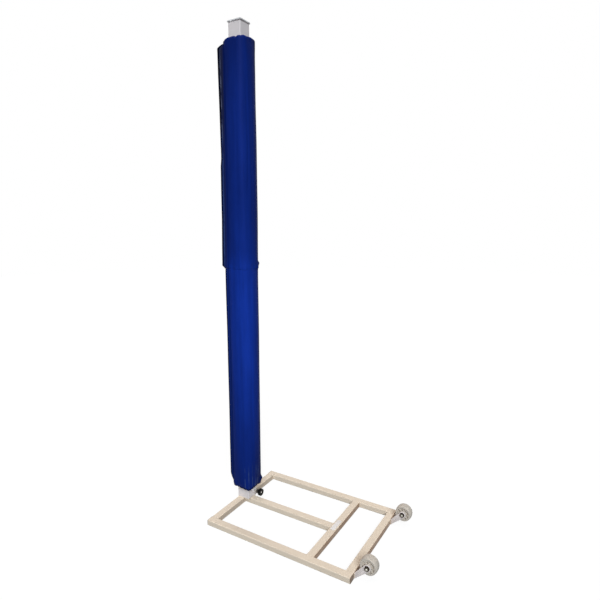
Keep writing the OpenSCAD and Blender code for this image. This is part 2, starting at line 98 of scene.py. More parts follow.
class PaintSettings(bpy.types.PropertyGroup):
    frame_colour: FloatVectorProperty(
        name="Frame paint", description="Colour of the base frame's cream paint",
        default=(0.80, 0.68, 0.545), subtype="COLOR")
    post_colour: FloatVectorProperty(
        name="Post paint", description="Colour of the post's off-white paint",
        default=(0.82, 0.755, 0.75), subtype="COLOR")
    bracket_colour: FloatVectorProperty(
        name="Bracket paint", description="Colour of the wheel brackets' grey paint",
        default=(0.81, 0.73, 0.70), subtype="COLOR")
    chips: FloatProperty(
        name="Chips", description="How much of the paint is chipped where the frame rubs",
        default=0.35, subtype="FACTOR")
    bead_width: FloatProperty(
        name="Weld width", description="Width of the weld beads at the frame's joints",
        default=5 * MM, unit="LENGTH")
    bead_pitch: FloatProperty(
        name="Weld ripple", description="Distance between the ripples of a weld bead",
        default=2.2 * MM, unit="LENGTH")


class WheelSettings(bpy.types.PropertyGroup):
    wheel_colour: FloatVectorProperty(
        name="Wheel colour", description="Colour of the moulded wheels",
        default=(0.615, 0.55, 0.475), subtype="COLOR")
    rim: FloatProperty(
        name="Rim", description="Thickness of a wheel's rim at its open face",
        default=9 * MM, unit="LENGTH")
    recess: FloatProperty(
        name="Recess", description="Depth of the hollow in each face of a wheel",
        default=11 * MM, unit="LENGTH")
    hub: FloatProperty(
        name="Hub radius", description="Radius of a wheel's hub", default=15 * MM, unit="LENGTH")
    ribs: IntProperty(
        name="Ribs", description="Number of ribs in each face of a wheel", default=8)
    crown: FloatProperty(
        name="Crown", description="How far the tread falls away at its edges",
        default=3 * MM, unit="LENGTH")
    nut_width: FloatProperty(
        name="Nut width", description="Width of the axle nuts and bolt heads across their flats",
        default=19 * MM, unit="LENGTH")
    bolt_width: FloatProperty(
        name="Bolt diameter", description="Diameter of the axle bolts",
        default=12 * MM, unit="LENGTH")


class LockSettings(bpy.types.PropertyGroup):
    knob_colour: FloatVectorProperty(
        name="Knob colour", description="Colour of the lock's moulded knob",
        default=(0.0035, 0.0033, 0.003), subtype="COLOR")
    grooves: IntProperty(
        name="Grooves", description="Number of finger grooves round the knob", default=10)
    groove: FloatProperty(
        name="Groove radius", description="Radius of a finger groove",
        default=5 * MM, unit="LENGTH")
    thread_pitch: FloatProperty(
        name="Thread pitch", description="Distance between the threads of the stud and the bolts",
        default=1.75 * MM, unit="LENGTH")
    nut_width: FloatProperty(
        name="Jam nut width", description="Width of the jam nut across its flats",
        default=22 * MM, unit="LENGTH")


class StageSettings(bpy.types.PropertyGroup):
    camera_place: FloatVectorProperty(
        name="Camera place", description="Where the camera stands",
        default=(1.58463, -2.05385, 1.58661), subtype="TRANSLATION", unit="LENGTH")
    camera_turn: FloatVectorProperty(
        name="Camera turn", description="How the camera is turned",
        default=(math.radians(80.75), 0.0, math.radians(30.96)), subtype="EULER")
    lens: FloatProperty(
        name="Lens", description="Focal length of the camera in millimetres on a 36 mm wide sensor",
        default=29.086, unit="CAMERA")
    key: FloatProperty(
        name="Key light", description="Strength of the large soft light beside the camera",
        default=2.72)
    top: FloatProperty(
        name="Top light", description="Strength of the soft light overhead", default=0.90)
    rear: FloatProperty(
        name="Rear light", description="Strength of the weaker soft light behind the post",
        default=1.3)
    room: FloatProperty(
        name="Room light", description="Strength of the even light from all round", default=0.08)


# ---------- shader helpers ----------


def put(tree, kind, values=None, **settings):
    """Adds a node to a tree; values holds what its inputs get, by name or place."""
    node = tree.nodes.new(kind)
    for key, value in settings.items():
        setattr(node, key, value)
    for key, value in (values or {}).items():
        if isinstance(value, Value):
            tree.links.new(value.socket, node.inputs[key])
        else:
            node.inputs[key].default_value = value
    return node


def feed(kind, values, out=0, **settings):
    """Adds a node to the tree of the values that it uses, and gives one of its outputs."""
    tree = next(v.socket.id_data for v in values.values() if isinstance(v, Value))
    return Value(put(tree, kind, values, **settings).outputs[out])


def maths(operation, *values):
    return feed("ShaderNodeMath", dict(enumerate(values)), operation=operation)


def mix(share, a, b, mode="MIX"):
    """Lays colour b over colour a, or multiplies the two."""
    values = {0: share, 6: a, 7: b}
    return feed("ShaderNodeMix", values, 2, data_type="RGBA", blend_type=mode)


class Value:
    """What a node gives out. It can be added, multiplied and so on, as a number can."""

    def __init__(self, socket):
        self.socket = socket

    def __add__(self, other):
        return maths("ADD", self, other)

    def __sub__(self, other):
        return maths("SUBTRACT", self, other)

    def __rsub__(self, other):
        return maths("SUBTRACT", other, self)

    def __mul__(self, other):
        return maths("MULTIPLY", self, other)

    def __truediv__(self, other):
        return maths("DIVIDE", self, other)

    def __rtruediv__(self, other):
        return maths("DIVIDE", other, self)

    def __abs__(self):
        return maths("ABSOLUTE", self)

    def step(self, low, high, start=0.0, end=1.0):
        """Goes smoothly from start to end while this value goes from low to high."""
        values = {0: self, 1: low, 2: high, 3: start, 4: end}
        return feed("ShaderNodeMapRange", values, interpolation_type="SMOOTHSTEP")

    def noise(self, scale, detail=2.0, roughness=0.5):
        """Noise at this place; three scales stretch it."""
        place = self
        if isinstance(scale, tuple):
            place = feed("ShaderNodeMapping", {"Vector": self, "Scale": scale})
            scale = 1.0
        values = {"Vector": place, "Scale": scale, "Detail": detail, "Roughness": roughness}
        return feed("ShaderNodeTexNoise", values, "Fac")

    def split(self):
        """The X, Y and Z of this place."""
        node = put(self.socket.id_data, "ShaderNodeSeparateXYZ", {0: self})
        return [Value(output) for output in node.outputs]


def new_group(name, inputs):
    """A shader group and its inputs: vectors where None is given, else colours or numbers."""
    group = bpy.data.node_groups.new(name, "ShaderNodeTree")
    for label, value in inputs.items():
        kind = {type(None): "Vector", tuple: "Color", float: "Float"}[type(value)]
        socket = group.interface.new_socket(
            label, in_out="INPUT", socket_type=f"NodeSocket{kind}")
        if value is not None:
            socket.default_value = value
    start = group.nodes.new("NodeGroupInput")
    return group, {label: Value(start.outputs[label]) for label in inputs}


def close_group(group, results):
    """Gives a group its named outputs."""
    for label in results:
        kind = "Color" if label == "Colour" else "Float"
        group.interface.new_socket(label, in_out="OUTPUT", socket_type=f"NodeSocket{kind}")
    put(group, "NodeGroupOutput", results)
    return group


@cache
def painted_skin():
    """Sprayed paint: broad mottling, orange peel, chips and rubbed dirt low down, and painted shade
    on faces turned to +X.
    """
    group, given = new_group("Painted skin", {
        "Vector": None, "Paint": (0.8, 0.8, 0.8, 1), "Primer": (0.12, 0.09, 0.07, 1),
        "Mottle": 0.06, "Peel size": 0.0022, "Chips": 0.3, "Gloss": 0.42, "Normal": None,
        "Side shade": 0.0})
    place, mottle, chips = given["Vector"], given["Mottle"], given["Chips"]
    x, _, z = place.split()
    low = z.step(0.0, 0.012, 1.0, 0.0)
    broad = place.noise(9.0, 3.0, 0.6)
    fine = place.noise(140.0, 4.0, 0.65)
    shade = (broad - 0.5) * mottle + 1.0
    shade = (fine - 0.5) * (mottle * 0.6) + shade
    colour = mix(1.0, given["Paint"], shade, "MULTIPLY")
    grime = place.noise(26.0, 5.0, 0.7).step(0.5, 0.75) * low * 0.45
    colour = mix(grime, colour, (0.25, 0.20, 0.15, 1))
    # Painted shade: faces turned to +X are painted darker and browner, more so towards the rear,
    # where less light falls on them.
    facing = given["Normal"].split()[0].step(0.35, 0.95)
    side_shade_mask = facing * given["Side shade"] * broad.step(0.30, 0.62, 0.75, 1.0)
    side_shade_mask = side_shade_mask * x.step(0.0, 0.75, 0.3, 1.0)
    colour = mix(side_shade_mask, colour, (0.254, 0.117, 0.040, 1))
    edge = 0.80 - (low * 0.10 + chips * 0.07)
    chip = place.noise(75.0, 6.0, 0.62).step(edge, edge + 0.012) * chips.step(0.0, 0.05)
    return close_group(group, {
        "Colour": mix(chip, colour, given["Primer"]),
        "Roughness": fine * 0.12 + (given["Gloss"] - 0.06) + chip * 0.25,
        "Height": place.noise(1.0 / given["Peel size"], 1.5) - chip * 2.2})


@cache
def coated_cloth():
    """Vinyl on a woven scrim: the threads show faintly through a fine leather grain."""
    group, given = new_group("Coated cloth", {
        "Vector": None, "Colour": (0.01, 0.04, 0.25, 1), "Thread pitch": 0.0016,
        "Grain size": 0.0011, "Shade": 0.2, "Rub": 0.3})
    place, colour = given["Vector"], given["Colour"]
    turn = 2 * math.pi / given["Thread pitch"]
    warp, weft = (maths("SINE", along * turn) for along in place.split()[:2])
    values = {"Vector": place, "Scale": 1.0 / given["Grain size"]}
    grain = feed("ShaderNodeTexVoronoi", values, "Distance", feature="SMOOTH_F1")
    streaks = place.noise((62.0, 2.6, 1.0), 3.0, 0.6)
    clouds = place.noise((12.0, 3.6, 1.0), 4.0, 0.6)
    shade = (clouds * 0.8 + streaks * 0.9 - 0.85) * given["Shade"] + 1.0
    rubbed = place.noise((60.0, 22.0, 1.0), 6.0, 0.7).step(0.60, 0.78) * given["Rub"]
    pale = mix(0.22, colour, (0.22, 0.25, 0.38, 1))
    return close_group(group, {
        "Colour": mix(rubbed, mix(1.0, colour, shade, "MULTIPLY"), pale),
        "Roughness": clouds * 0.16 + 0.44 + rubbed * 0.2,
        "Height": warp * weft * 0.3 + grain * 0.8})


@cache
def stitch_row():
    """A row of thread along V at one place in U: 1 on a stitch, 0 elsewhere."""
    group, given = new_group(
        "Stitch row", {"Vector": None, "Place": 0.0, "Pitch": 0.0042, "Thread": 0.0008})
    across, along, _ = given["Vector"].split()
    thread = given["Thread"]
    line = abs(across - given["Place"]).step(thread * 0.4, thread, 1.0, 0.0)
    dash = abs(maths("FRACT", along / given["Pitch"]) - 0.5).step(0.30, 0.40, 1.0, 0.0)
    return close_group(group, {"Mask": line * dash})


@cache
def moulded_skin():
    """Moulded plastic: flow marks, fine texture and patches of settled dust."""
    group, given = new_group("Moulded skin", {
        "Vector": None, "Colour": (0.5, 0.5, 0.5, 1), "Dust": (0.45, 0.42, 0.38, 1),
        "Dust amount": 0.1, "Flow": 0.06, "Gloss": 0.45})
    clouds = given["Vector"].noise(45.0, 4.0, 0.6)
    fine = given["Vector"].noise(700.0, 2.0, 0.6)
    shade = (clouds - 0.5) * given["Flow"] + 1.0
    settled = clouds.step(0.40, 0.62) * given["Dust amount"]
    return close_group(group, {
        "Colour": mix(settled, mix(1.0, given["Colour"], shade, "MULTIPLY"), given["Dust"]),
        "Roughness": fine * 0.10 + (given["Gloss"] - 0.05) + settled * 0.4,
        "Height": fine})


@cache
def worked_metal():
    """Turned or plated metal: fine scratches round the part and dull blotches."""
    group, given = new_group("Worked metal", {
        "Vector": None, "Metal": (0.6, 0.6, 0.6, 1), "Tarnish": (0.2, 0.17, 0.14, 1),
        "Tarnish amount": 0.3, "Gloss": 0.35})
    place = given["Vector"]
    scratches = place.noise((260.0, 2600.0, 2600.0), 2.0, 0.6)
    dull = place.noise(160.0, 5.0, 0.65).step(0.42, 0.66) * given["Tarnish amount"]
    return close_group(group, {
        "Colour": mix(dull, given["Metal"], given["Tarnish"]),
        "Roughness": scratches * 0.14 + (given["Gloss"] - 0.07) + dull * 0.3,
        "Height": scratches})


# ---------- finishes ----------


def rgba(colour):
    return (*colour, 1.0)


def emptied_tree(owner):
    """The node tree of a new material or world, with nothing in it."""
    owner.use_nodes = True
    owner.node_tree.nodes.clear()
    return owner.node_tree


class Finish:
    """A material in the making, with its coordinates."""

    def __init__(self, name):
        self.material = bpy.data.materials.new(name)
        self.tree = emptied_tree(self.material)
        coords = put(self.tree, "ShaderNodeTexCoord").outputs
        self.solid, self.cloth = Value(coords["Object"]), Value(coords["UV"])
        self.facing = Value(coords["Normal"])

    def skin(self, group, values):
        """Places a shared group in the material and gives its outputs by name."""
        node = put(self.tree, "ShaderNodeGroup", values, node_tree=group)
        return {output.name: Value(output) for output in node.outputs}

    def close(self, look, strength, depth, specular=0.5, metallic=0.0):
        """Feeds the look and its bumps, of that strength and depth, to the shader."""
        values = {"Strength": strength, "Distance": depth, "Height": look["Height"]}
        shader = put(self.tree, "ShaderNodeBsdfPrincipled", {
            "Base Color": look["Colour"], "Roughness": look["Roughness"], "Metallic": metallic,
            "Specular IOR Level": specular, "Normal": feed("ShaderNodeBump", values)})
        put(self.tree, "ShaderNodeOutputMaterial", {0: Value(shader.outputs[0])})
        return self.material


def paint_finish(name, colour, chips, gloss=0.42, mottle=0.07, side_shade=0.0):
    finish = Finish(name)
    skin = finish.skin(painted_skin(), {
        "Vector": finish.solid, "Paint": rgba(colour), "Primer": (0.10, 0.075, 0.06, 1),
        "Mottle": mottle, "Peel size": 2.2 * MM, "Chips": chips, "Gloss": gloss,
        "Normal": finish.facing, "Side shade": side_shade})
    return finish.close(skin, 0.12, 0.25 * MM, specular=0.4)


def moulded_finish(name, colour, gloss=0.45, dust=0.1, flow=0.07, specular=0.4):
    finish = Finish(name)
    skin = finish.skin(moulded_skin(), {
        "Vector": finish.solid, "Colour": rgba(colour), "Dust amount": dust, "Flow": flow,
        "Gloss": gloss})
    return finish.close(skin, 0.08, 0.1 * MM, specular)


def metal_finish(name, colour, tarnish, amount, gloss):
    finish = Finish(name)
    skin = finish.skin(worked_metal(), {
        "Vector": finish.solid, "Metal": rgba(colour), "Tarnish": rgba(tarnish),
        "Tarnish amount": amount, "Gloss": gloss})
    return finish.close(skin, 0.10, 0.05 * MM, metallic=1.0)


def foam_finish():
    finish = Finish("open_foam")
    cells = feed("ShaderNodeTexVoronoi", {"Vector": finish.solid, "Scale": 900.0}, "Distance")
    colour = mix(cells.step(0.0, 0.6), (0.17, 0.17, 0.19, 1), (0.34, 0.34, 0.37, 1))
    look = {"Colour": colour, "Roughness": 0.95, "Height": cells}
    return finish.close(look, 0.5, 0.6 * MM)


def tape_finish():
    finish = Finish("hook_tape")
    hooks = feed("ShaderNodeTexVoronoi", {"Vector": finish.solid, "Scale": 1400.0}, "Distance")
    colour = mix(hooks, (0.03, 0.03, 0.035, 1), (0.008, 0.008, 0.01, 1))
    look = {"Colour": colour, "Roughness": 0.9, "Height": hooks}
    return finish.close(look, 0.6, 0.5 * MM)


def webbing_finish(name, colour):
    """Bound edge: a narrow twill tape, its ribs slanting round the pad, darker high on the post."""
    finish = Finish(name)
    across, along, _ = finish.cloth.split()
    rib = maths("SINE", (across + along) * (2 * math.pi / (1.2 * MM)))
    high = finish.solid.split()[2].step(1.95, 2.15)
    tape = mix(high, rgba(colour), (0.003, 0.004, 0.014, 1))
    dark = mix(1.0, tape, (0.6, 0.6, 0.6, 1), "MULTIPLY")
    look = {"Colour": mix(rib.step(-1.0, 1.0), dark, tape), "Roughness": 0.85, "Height": rib}
    return finish.close(look, 0.3, 0.15 * MM, specular=0.03)


def wheel_finish(colour):
    """Moulded nylon whose tread is scuffed grey where it has rolled."""
    finish = Finish("wheel_nylon")
    skin = finish.skin(moulded_skin(), {
        "Vector": finish.solid, "Colour": rgba(colour), "Dust amount": 0.12, "Flow": 0.10,
        "Gloss": 0.44})
    low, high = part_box("near_axle_bolt")
    centre = ((low.x + high.x) / 2, 0, (low.z + high.z) / 2)
    offset = feed("ShaderNodeVectorMath", {0: finish.solid, 1: centre}, operation="SUBTRACT")
    x, _, z = offset.split()
    tread = maths("SQRT", x * x + z * z).step(39.5 * MM, 41.0 * MM)
    scuff = tread * finish.solid.noise(90.0, 5.0, 0.65).step(0.40, 0.62) * 0.38
    skin["Colour"] = mix(scuff, skin["Colour"], (0.28, 0.26, 0.235, 1))
    skin["Roughness"] = scuff * 0.4 + skin["Roughness"]
    skin["Height"] = scuff * 1.5 + skin["Height"]
    return finish.close(skin, 0.10, 0.1 * MM, specular=0.4)


def brightness_ramp(value, levels):
    """A grey that follows the (place, brightness) levels along a value."""
    low, high = levels[0][0], levels[-1][0]
    share = feed("ShaderNodeMapRange", {0: value, 1: low, 2: high})
    ramp = put(value.socket.id_data, "ShaderNodeValToRGB", {0: share})
    ramp.color_ramp.interpolation = "B_SPLINE"
    stops = ramp.color_ramp.elements
    for at, _ in levels[1:-1]:
        stops.new((at - low) / (high - low))
    for stop, (_, bright) in zip(stops, levels):
        stop.color = (bright, bright, bright, 1)
    return Value(ramp.outputs[0])


def vinyl_finish(name, colour, stitches, folds, fold_top, levels, band, shade_round_pad):
    """Coated cloth with rows of stitches and pale fold lines at the given places round the pad; the
    fold lines are partly wear and partly painted highlight.

    The levels are heights along the cloth, from low to high, and how bright it is painted at each:
    painted light. The band is a dark strip of painted shade on the flap's face: where it starts and
    ends round the pad, its colour, and how much of it shows low down and high up. The
    shade_round_pad is how bright the cloth is painted round the pad: painted light and shade.
    The folds show below the given height.
    """
    finish = Finish(name)
    place = finish.cloth
    x, y, _ = place.split()
    cloth = finish.skin(coated_cloth(), {
        "Vector": place, "Colour": rgba(colour), "Thread pitch": 1.6 * MM,
        "Grain size": 1.1 * MM, "Shade": 0.62, "Rub": 0.3})
    rows = [finish.skin(stitch_row(), {"Vector": place, "Place": at})["Mask"] for at in stitches]
    thread = maths("MAXIMUM", *rows)
    look = mix(thread, cloth["Colour"], (colour[0] * 1.6, colour[1] * 1.6, colour[2] * 1.3, 1))
    # Painted light: the cloth is painted brighter near the middle of the post and darker towards
    # the hem and the top.
    look = mix(1.0, look, brightness_ramp(y, levels), "MULTIPLY")
    # Painted light and shade round the pad: brightest at the front corner, darker on the sides that
    # turn from the light.
    look = mix(1.0, look, brightness_ramp(x, shade_round_pad), "MULTIPLY")
    # Painted shade: a dark strip along the flap's face, where the flap turns from the light.
    first, last, tape, low_share, high_share = band
    painted_shade_strip = x.step(first - 1 * MM, first) * x.step(last, last + 12 * MM, 1.0, 0.0)
    painted_shade_strip = painted_shade_strip * y.step(1.9, 2.3, low_share, high_share)
    look = mix(painted_shade_strip, look, rgba(tape))
    # Pale lines along the folds: partly wear, partly painted highlight where the folds catch the
    # light; greyer high up.
    fold_wear_and_highlight = place.noise((30.0, 11.0, 1.0), 4.0, 0.65).step(0.36, 0.62)
    fold_wear_and_highlight = fold_wear_and_highlight * y.step(fold_top - 80 * MM, fold_top, 1.0, 0.0)
    pale = mix(y.step(1.98, 2.16), (0.035, 0.065, 0.20, 1), (0.115, 0.125, 0.19, 1))
    for at in folds:
        line = abs(x - at).step(1.2 * MM, 4.2 * MM, 0.85, 0.0)
        look = mix(line * fold_wear_and_highlight, look, pale)
    cloth.update(Colour=look, Height=thread * 2.5 + cloth["Height"])
    return finish.close(cloth, 0.10, 0.3 * MM, specular=0.04)


# ---------- modelling helpers ----------


def clear_selection():
    bpy.ops.object.select_all(action="DESELECT")


def pick(piece):
    """Makes the piece the only one selected, and the active one."""
    clear_selection()
    piece.select_set(True)
    bpy.context.view_layer.objects.active = piece


def edit(piece):
    """Opens the piece in edit mode with all of it selected."""
    pick(piece)
    bpy.ops.object.mode_set(mode="EDIT")
    bpy.ops.mesh.select_all(action="SELECT")


def leave_edit():
    bpy.ops.object.mode_set(mode="OBJECT")


def choose(piece, test, kind="FACE"):
    """Selects the faces, edges or points of the piece in edit mode that pass the test."""
    bpy.ops.mesh.select_mode(type=kind)
    bpy.ops.mesh.select_all(action="DESELECT")
    mesh = bmesh.from_edit_mesh(piece.data)
    items = {"FACE": mesh.faces, "EDGE": mesh.edges, "VERT": mesh.verts}[kind]
    for item in items:
        if test(item):
            item.select_set(True)
    mesh.select_flush_mode()
    bmesh.update_edit_mesh(piece.data)


def bevel(piece, test, width, segments):
    """Rounds the edges of the piece in edit mode that pass the test."""
    choose(piece, test, "EDGE")
    bpy.ops.mesh.bevel(offset=width, segments=segments, affect="EDGES")


def upright(edge):
    """Whether an edge of a box stands up."""
    return abs(edge.verts[0].co.z - edge.verts[1].co.z) > 0.3 * MM


def settle(piece):
    """Puts the piece's place, turn and scale into its mesh."""
    pick(piece)
    bpy.ops.object.transform_apply(location=True, rotation=True, scale=True)


def seat(piece, matrix):
    """Moves a piece that was built along +Z at the origin to where it belongs."""
    piece.matrix_world = matrix
    bpy.context.view_layer.update()
    settle(piece)


def apply_all(piece):
    pick(piece)
    for modifier in list(piece.modifiers):
        bpy.ops.object.modifier_apply(modifier=modifier.name)


def round_edges(piece, width, segments=2, angle=35.0):
    rounding = piece.modifiers.new("Rounded edges", "BEVEL")
    rounding.width = width
    rounding.segments = segments
    rounding.limit_method = "ANGLE"
    rounding.angle_limit = math.radians(angle)
    rounding.use_clamp_overlap = True
    rounding.miter_outer = "MITER_ARC"
    apply_all(piece)


def cut_away(piece, cutter, operation="DIFFERENCE"):
    """Cuts the piece with another solid, which is then thrown away."""
    boolean = piece.modifiers.new("Cut", "BOOLEAN")
    boolean.operation = operation
    boolean.solver = "MANIFOLD"
    boolean.object = cutter
    apply_all(piece)
    bpy.data.objects.remove(cutter)


def join(pieces):
    clear_selection()
    for piece in pieces:
        piece.select_set(True)
    bpy.context.view_layer.objects.active = pieces[0]
    bpy.ops.object.join()
    return pieces[0]


def piece_of(mesh, name):
    """A new piece with that mesh, in the scene."""
    piece = bpy.data.objects.new(name, mesh)
    bpy.context.scene.collection.objects.link(piece)
    return piece


def finished(piece, name, body, material, nodes=(), angle=32.0):
    """Names a piece, smooths it, gives it its finish, and lets it ride on its body."""
    piece.name = name
    piece.data.name = name
    settle(piece)
    bpy.ops.object.shade_smooth_by_angle(angle=math.radians(angle))
    piece.data.materials.clear()
    piece.data.materials.append(material)
    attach(piece, body)
    if nodes:
        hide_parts(*nodes)
    return piece


def softened(node, width, name, body, material):
    """A solid's own shape with its sharp edges rounded off."""
    piece = piece_of(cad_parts[node].data.copy(), name)
    edit(piece)
    bpy.ops.mesh.remove_doubles(threshold=0.002 * MM)
    bpy.ops.mesh.dissolve_limited(angle_limit=math.radians(1.0))
    leave_edit()
    round_edges(piece, width)
    return finished(piece, name, body, material, [node])


def paint_node(node, material):
    """Gives a solid that keeps its own shape its finish."""
    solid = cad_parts[node]
    solid.data.materials.clear()
    solid.data.materials.append(material)
    pick(solid)
    bpy.ops.object.shade_smooth_by_angle(angle=math.radians(30.0))
    clear_selection()


def cylinder(radius, depth, points=64, bottom=0.0):
    """A cylinder along +Z whose lower end is at the height bottom."""
    clear_selection()
    bpy.ops.mesh.primitive_cylinder_add(
        vertices=points, radius=radius, depth=depth, location=(0, 0, bottom + depth / 2))
    piece = bpy.context.object
    settle(piece)
    return piece


def box_piece(low, high):
    low, high = Vector(low), Vector(high)
    clear_selection()
    bpy.ops.mesh.primitive_cube_add(size=1, location=(low + high) / 2, scale=high - low)
    piece = bpy.context.object
    settle(piece)
    return piece


def square_piece(half, bottom, top):
    """A square block round the post's axis."""
    return box_piece((-half, -half, bottom), (half, half, top))


def turned(profile, name, steps=48):
    """A solid turned round +Z from a run of (radius, height) points."""
    mesh = bpy.data.meshes.new(name)
    ends = [(k, k + 1) for k in range(len(profile) - 1)]
    if profile[0][0] > 0:
        ends.append((len(profile) - 1, 0))
    mesh.from_pydata([(radius, 0.0, z) for radius, z in profile], ends, [])
    piece = piece_of(mesh, name)
    edit(piece)
    bpy.ops.mesh.spin(
        steps=steps, angle=2 * math.pi, center=(0, 0, 0), axis=(0, 0, 1), use_auto_merge=True)
    bpy.ops.mesh.select_all(action="SELECT")
    bpy.ops.mesh.remove_doubles(threshold=0.005 * MM)
    bpy.ops.mesh.normals_make_consistent(inside=False)
    leave_edit()
    return piece


def thread_profile(radius, low, high, pitch):
    """Ridges of a screw thread between two heights, as (radius, height) points."""
    root = radius - 0.55 * pitch
    points = []
    z = low
    while z + pitch <= high + 1e-9:
        points += [(root, z + 0.06 * pitch), (radius, z + 0.44 * pitch)]
        points += [(radius, z + 0.56 * pitch), (root, z + 0.94 * pitch)]
        z += pitch
    return points


def hexagon(width, thick, name):
    """A hexagon nut's outside along +Z, with both faces' corners turned off."""
    piece = cylinder(width / math.sqrt(3), thick, 6)
    piece.name = name
    reach = width / math.sqrt(3) * 1.001
    face = width / 2 * 0.97
    drop = (reach - face) * math.tan(math.radians(30))
    profile = [(0, 0), (face, 0), (reach, drop), (reach, thick - drop), (face, thick), (0, thick)]
    cut_away(piece, turned(profile, "turned_corners", 64), "INTERSECT")
    return piece


def nut_piece(width, thick, hole, name):
    """A hexagon nut along +Z with its hole."""
    nut = hexagon(width, thick, name)
    cut_away(nut, cylinder(hole, 50 * MM, 48, -20 * MM))
    round_edges(nut, 0.3 * MM)
    return nut


def about(axis, degrees):
    return Matrix.Rotation(math.radians(degrees), 4, axis)


ALONG_X = about("Y", 90)
ALONG_Y = about("X", -90)


# ---------- pads ----------

# Degrees round a pad, from +X towards +Y, of the corners that its cloth is shaped at.
BACK_CORNER, FLAP_CORNER, FRONT_CORNER = 45, 225, 315

# A flap's stitches stand this share of its width off its tip.
STITCH_SHARE = 0.62


def smooth(x):
    """Goes smoothly from 0 to 1."""
    x = np.clip(x, 0.0, 1.0)
    return x * x * (3 - 2 * x)


def hump(x, middle, width):
    """1 at the middle, falling away on both sides."""
    return np.exp(-(((x - middle) / width) ** 2))


class PadSection:
    """The run of points round a pad: four flats, four corners and the flap's fin.

    It starts beside the flap at the corner between -X and -Y and goes round to +X first.
    """

    flap_turn = math.radians(FLAP_CORNER)
    root = math.radians(20)
    thick = 2.6 * MM
    corner_steps, part_steps, flat_steps = 24, 7, 18
    fillet_steps, fin_steps, tip_steps = 5, 5, 3

    def __init__(self):
        rows = []
        part, whole = self.part_steps, self.corner_steps
        places = ((-1, -1), (1, -1), (1, 1), (-1, 1), (-1, -1))
        turns = ((245, 270, part), (270, 360, whole), (0, 90, whole), (90, 180, whole),
                 (180, 205, part))
        for (x, y), (start, end, steps), after in zip(places, turns, (*places[1:], None)):
            for k in range(steps):
                t = math.radians(start + (end - start) * k / steps)
                rows.append((x, y, math.cos(t), math.sin(t)))
            if after is None:
                break
            dx, dy = after[0] - x, after[1] - y
            for k in range(self.flat_steps):
                s = k / self.flat_steps
                rows.append((x + dx * s, y + dy * s, dy / 2, -dx / 2))
        self.body = np.array(rows)
        self.fin_start = len(rows)
        fin_count = 2 * (self.fillet_steps + self.fin_steps + self.tip_steps)
        self.count = self.fin_start + fin_count
        self.tip = self.fin_start + fin_count // 2

    def rings(self, half, corner, flap):
        """Points of shape (levels, count, 2) for arrays of half widths, radii and flaps."""
        half, corner, flap = np.atleast_1d(half, corner, flap)
        flat, radius = (half - corner)[:, None], corner[:, None]
        a, b, c, d = self.body.T
        body = np.stack([flat * a + radius * c, flat * b + radius * d], 2)
        fin = np.array([self.fin(*map(float, level)) for level in zip(half, corner, flap)])
        return np.concatenate([body, fin], 1)

    def fin(self, half, corner, flap):
        """One level's points out along the flap, round its tip and back."""
        diagonal = (half - corner) * math.sqrt(2)

        def arc(turn):
            return Vector((diagonal + corner * math.cos(turn), corner * math.sin(turn)))

        reach = diagonal + corner
        root = arc(self.root)
        pull = min(7 * MM, 0.2 * corner)
        leave = root + pull * Vector((math.sin(self.root), -math.cos(self.root)))
        thick = min(self.thick, 0.45 * max(flap, 1e-6))
        arrive = Vector((reach + 0.12 * flap, thick))
        ready = Vector((reach + 0.38 * flap, thick))
        tip = Vector((reach + flap - thick, thick))
        side = []
        for k in range(self.fillet_steps + 1):
            s = k / self.fillet_steps
            side.append((1 - s) ** 3 * root + 3 * (1 - s) ** 2 * s * leave
                        + 3 * (1 - s) * s * s * arrive + s ** 3 * ready)
        for k in range(1, self.fin_steps + 1):
            side.append(ready.lerp(tip, k / self.fin_steps))
        for k in range(1, self.tip_steps):
            turn = math.radians(90 * k / self.tip_steps)
            side.append(Vector((tip.x + thick * math.sin(turn), thick * math.cos(turn))))
        end = Vector((tip.x + thick, 0.0))
        run = [Vector((p.x, -p.y)) for p in side] + [end] + side[:0:-1]
        weight = float(smooth(flap / (10 * MM)))
        outward = Vector((math.cos(self.flap_turn), math.sin(self.flap_turn)))
        across = Vector((-outward.y, outward.x))
        points = []
        for k, p in enumerate(run):
            p = arc(self.root * (2 * k / len(run) - 1)).lerp(p, weight)
            points.append(outward * p.x + across * p.y)
        return points


def outward_of(rings):
    """Unit directions that point out of each ring."""
    step = np.roll(rings, -1, 1) - np.roll(rings, 1, 1)
    out = np.stack([step[..., 1], -step[..., 0]], 2)
    return out / np.maximum(np.linalg.norm(out, axis=2, keepdims=True), 1e-9)


def uneven_wave(run, total, count, seed):
    """A wave round the pad whose gathers have uneven widths and depths."""
    chance = np.random.default_rng(seed)
    edges = np.concatenate([[0], np.cumsum(chance.uniform(0.65, 1.35, count))])
    edges *= total / edges[-1]
    depth = chance.uniform(0.45, 1.0, count)
    turn = np.interp(run, edges, np.arange(count + 1))
    here = np.minimum(turn.astype(int), count - 1)
    share = smooth(turn - np.floor(turn))
    size = depth[(here - 1) % count] * (1 - share) + depth[here] * share
    return np.sin(2 * np.pi * turn) * size


def slow_swell(z, run, total, depth, length, sway, count, seed):
    """Broad swellings that drift round the pad as they climb."""
    slow = np.sin(2 * np.pi * (z / length + sway * np.sin(2 * np.pi * run / total)))
    return depth * slow * uneven_wave(run, total, count, seed)


def creases(run, away, total, count, longest, seed):
    """Soft folds that run off an edge, each with its own place, slant, width and length."""
    chance = np.random.default_rng(seed)
    field = 0.0
    for place in total * (np.arange(count) + chance.uniform(-0.35, 0.35, count)) / count:
        slant, wide = chance.normal(0, 0.10), chance.uniform(3.0, 6.5) * MM
        deep = chance.choice((-1.0, 0.8)) * chance.uniform(0.4, 1.0)
        far = longest * chance.uniform(0.35, 1.0)
        across = (run - place - slant * away + total / 2) % total - total / 2
        field = field + deep * hump(across, 0, wide * (1 + away / far)) * smooth(1 - away / far)
    return field


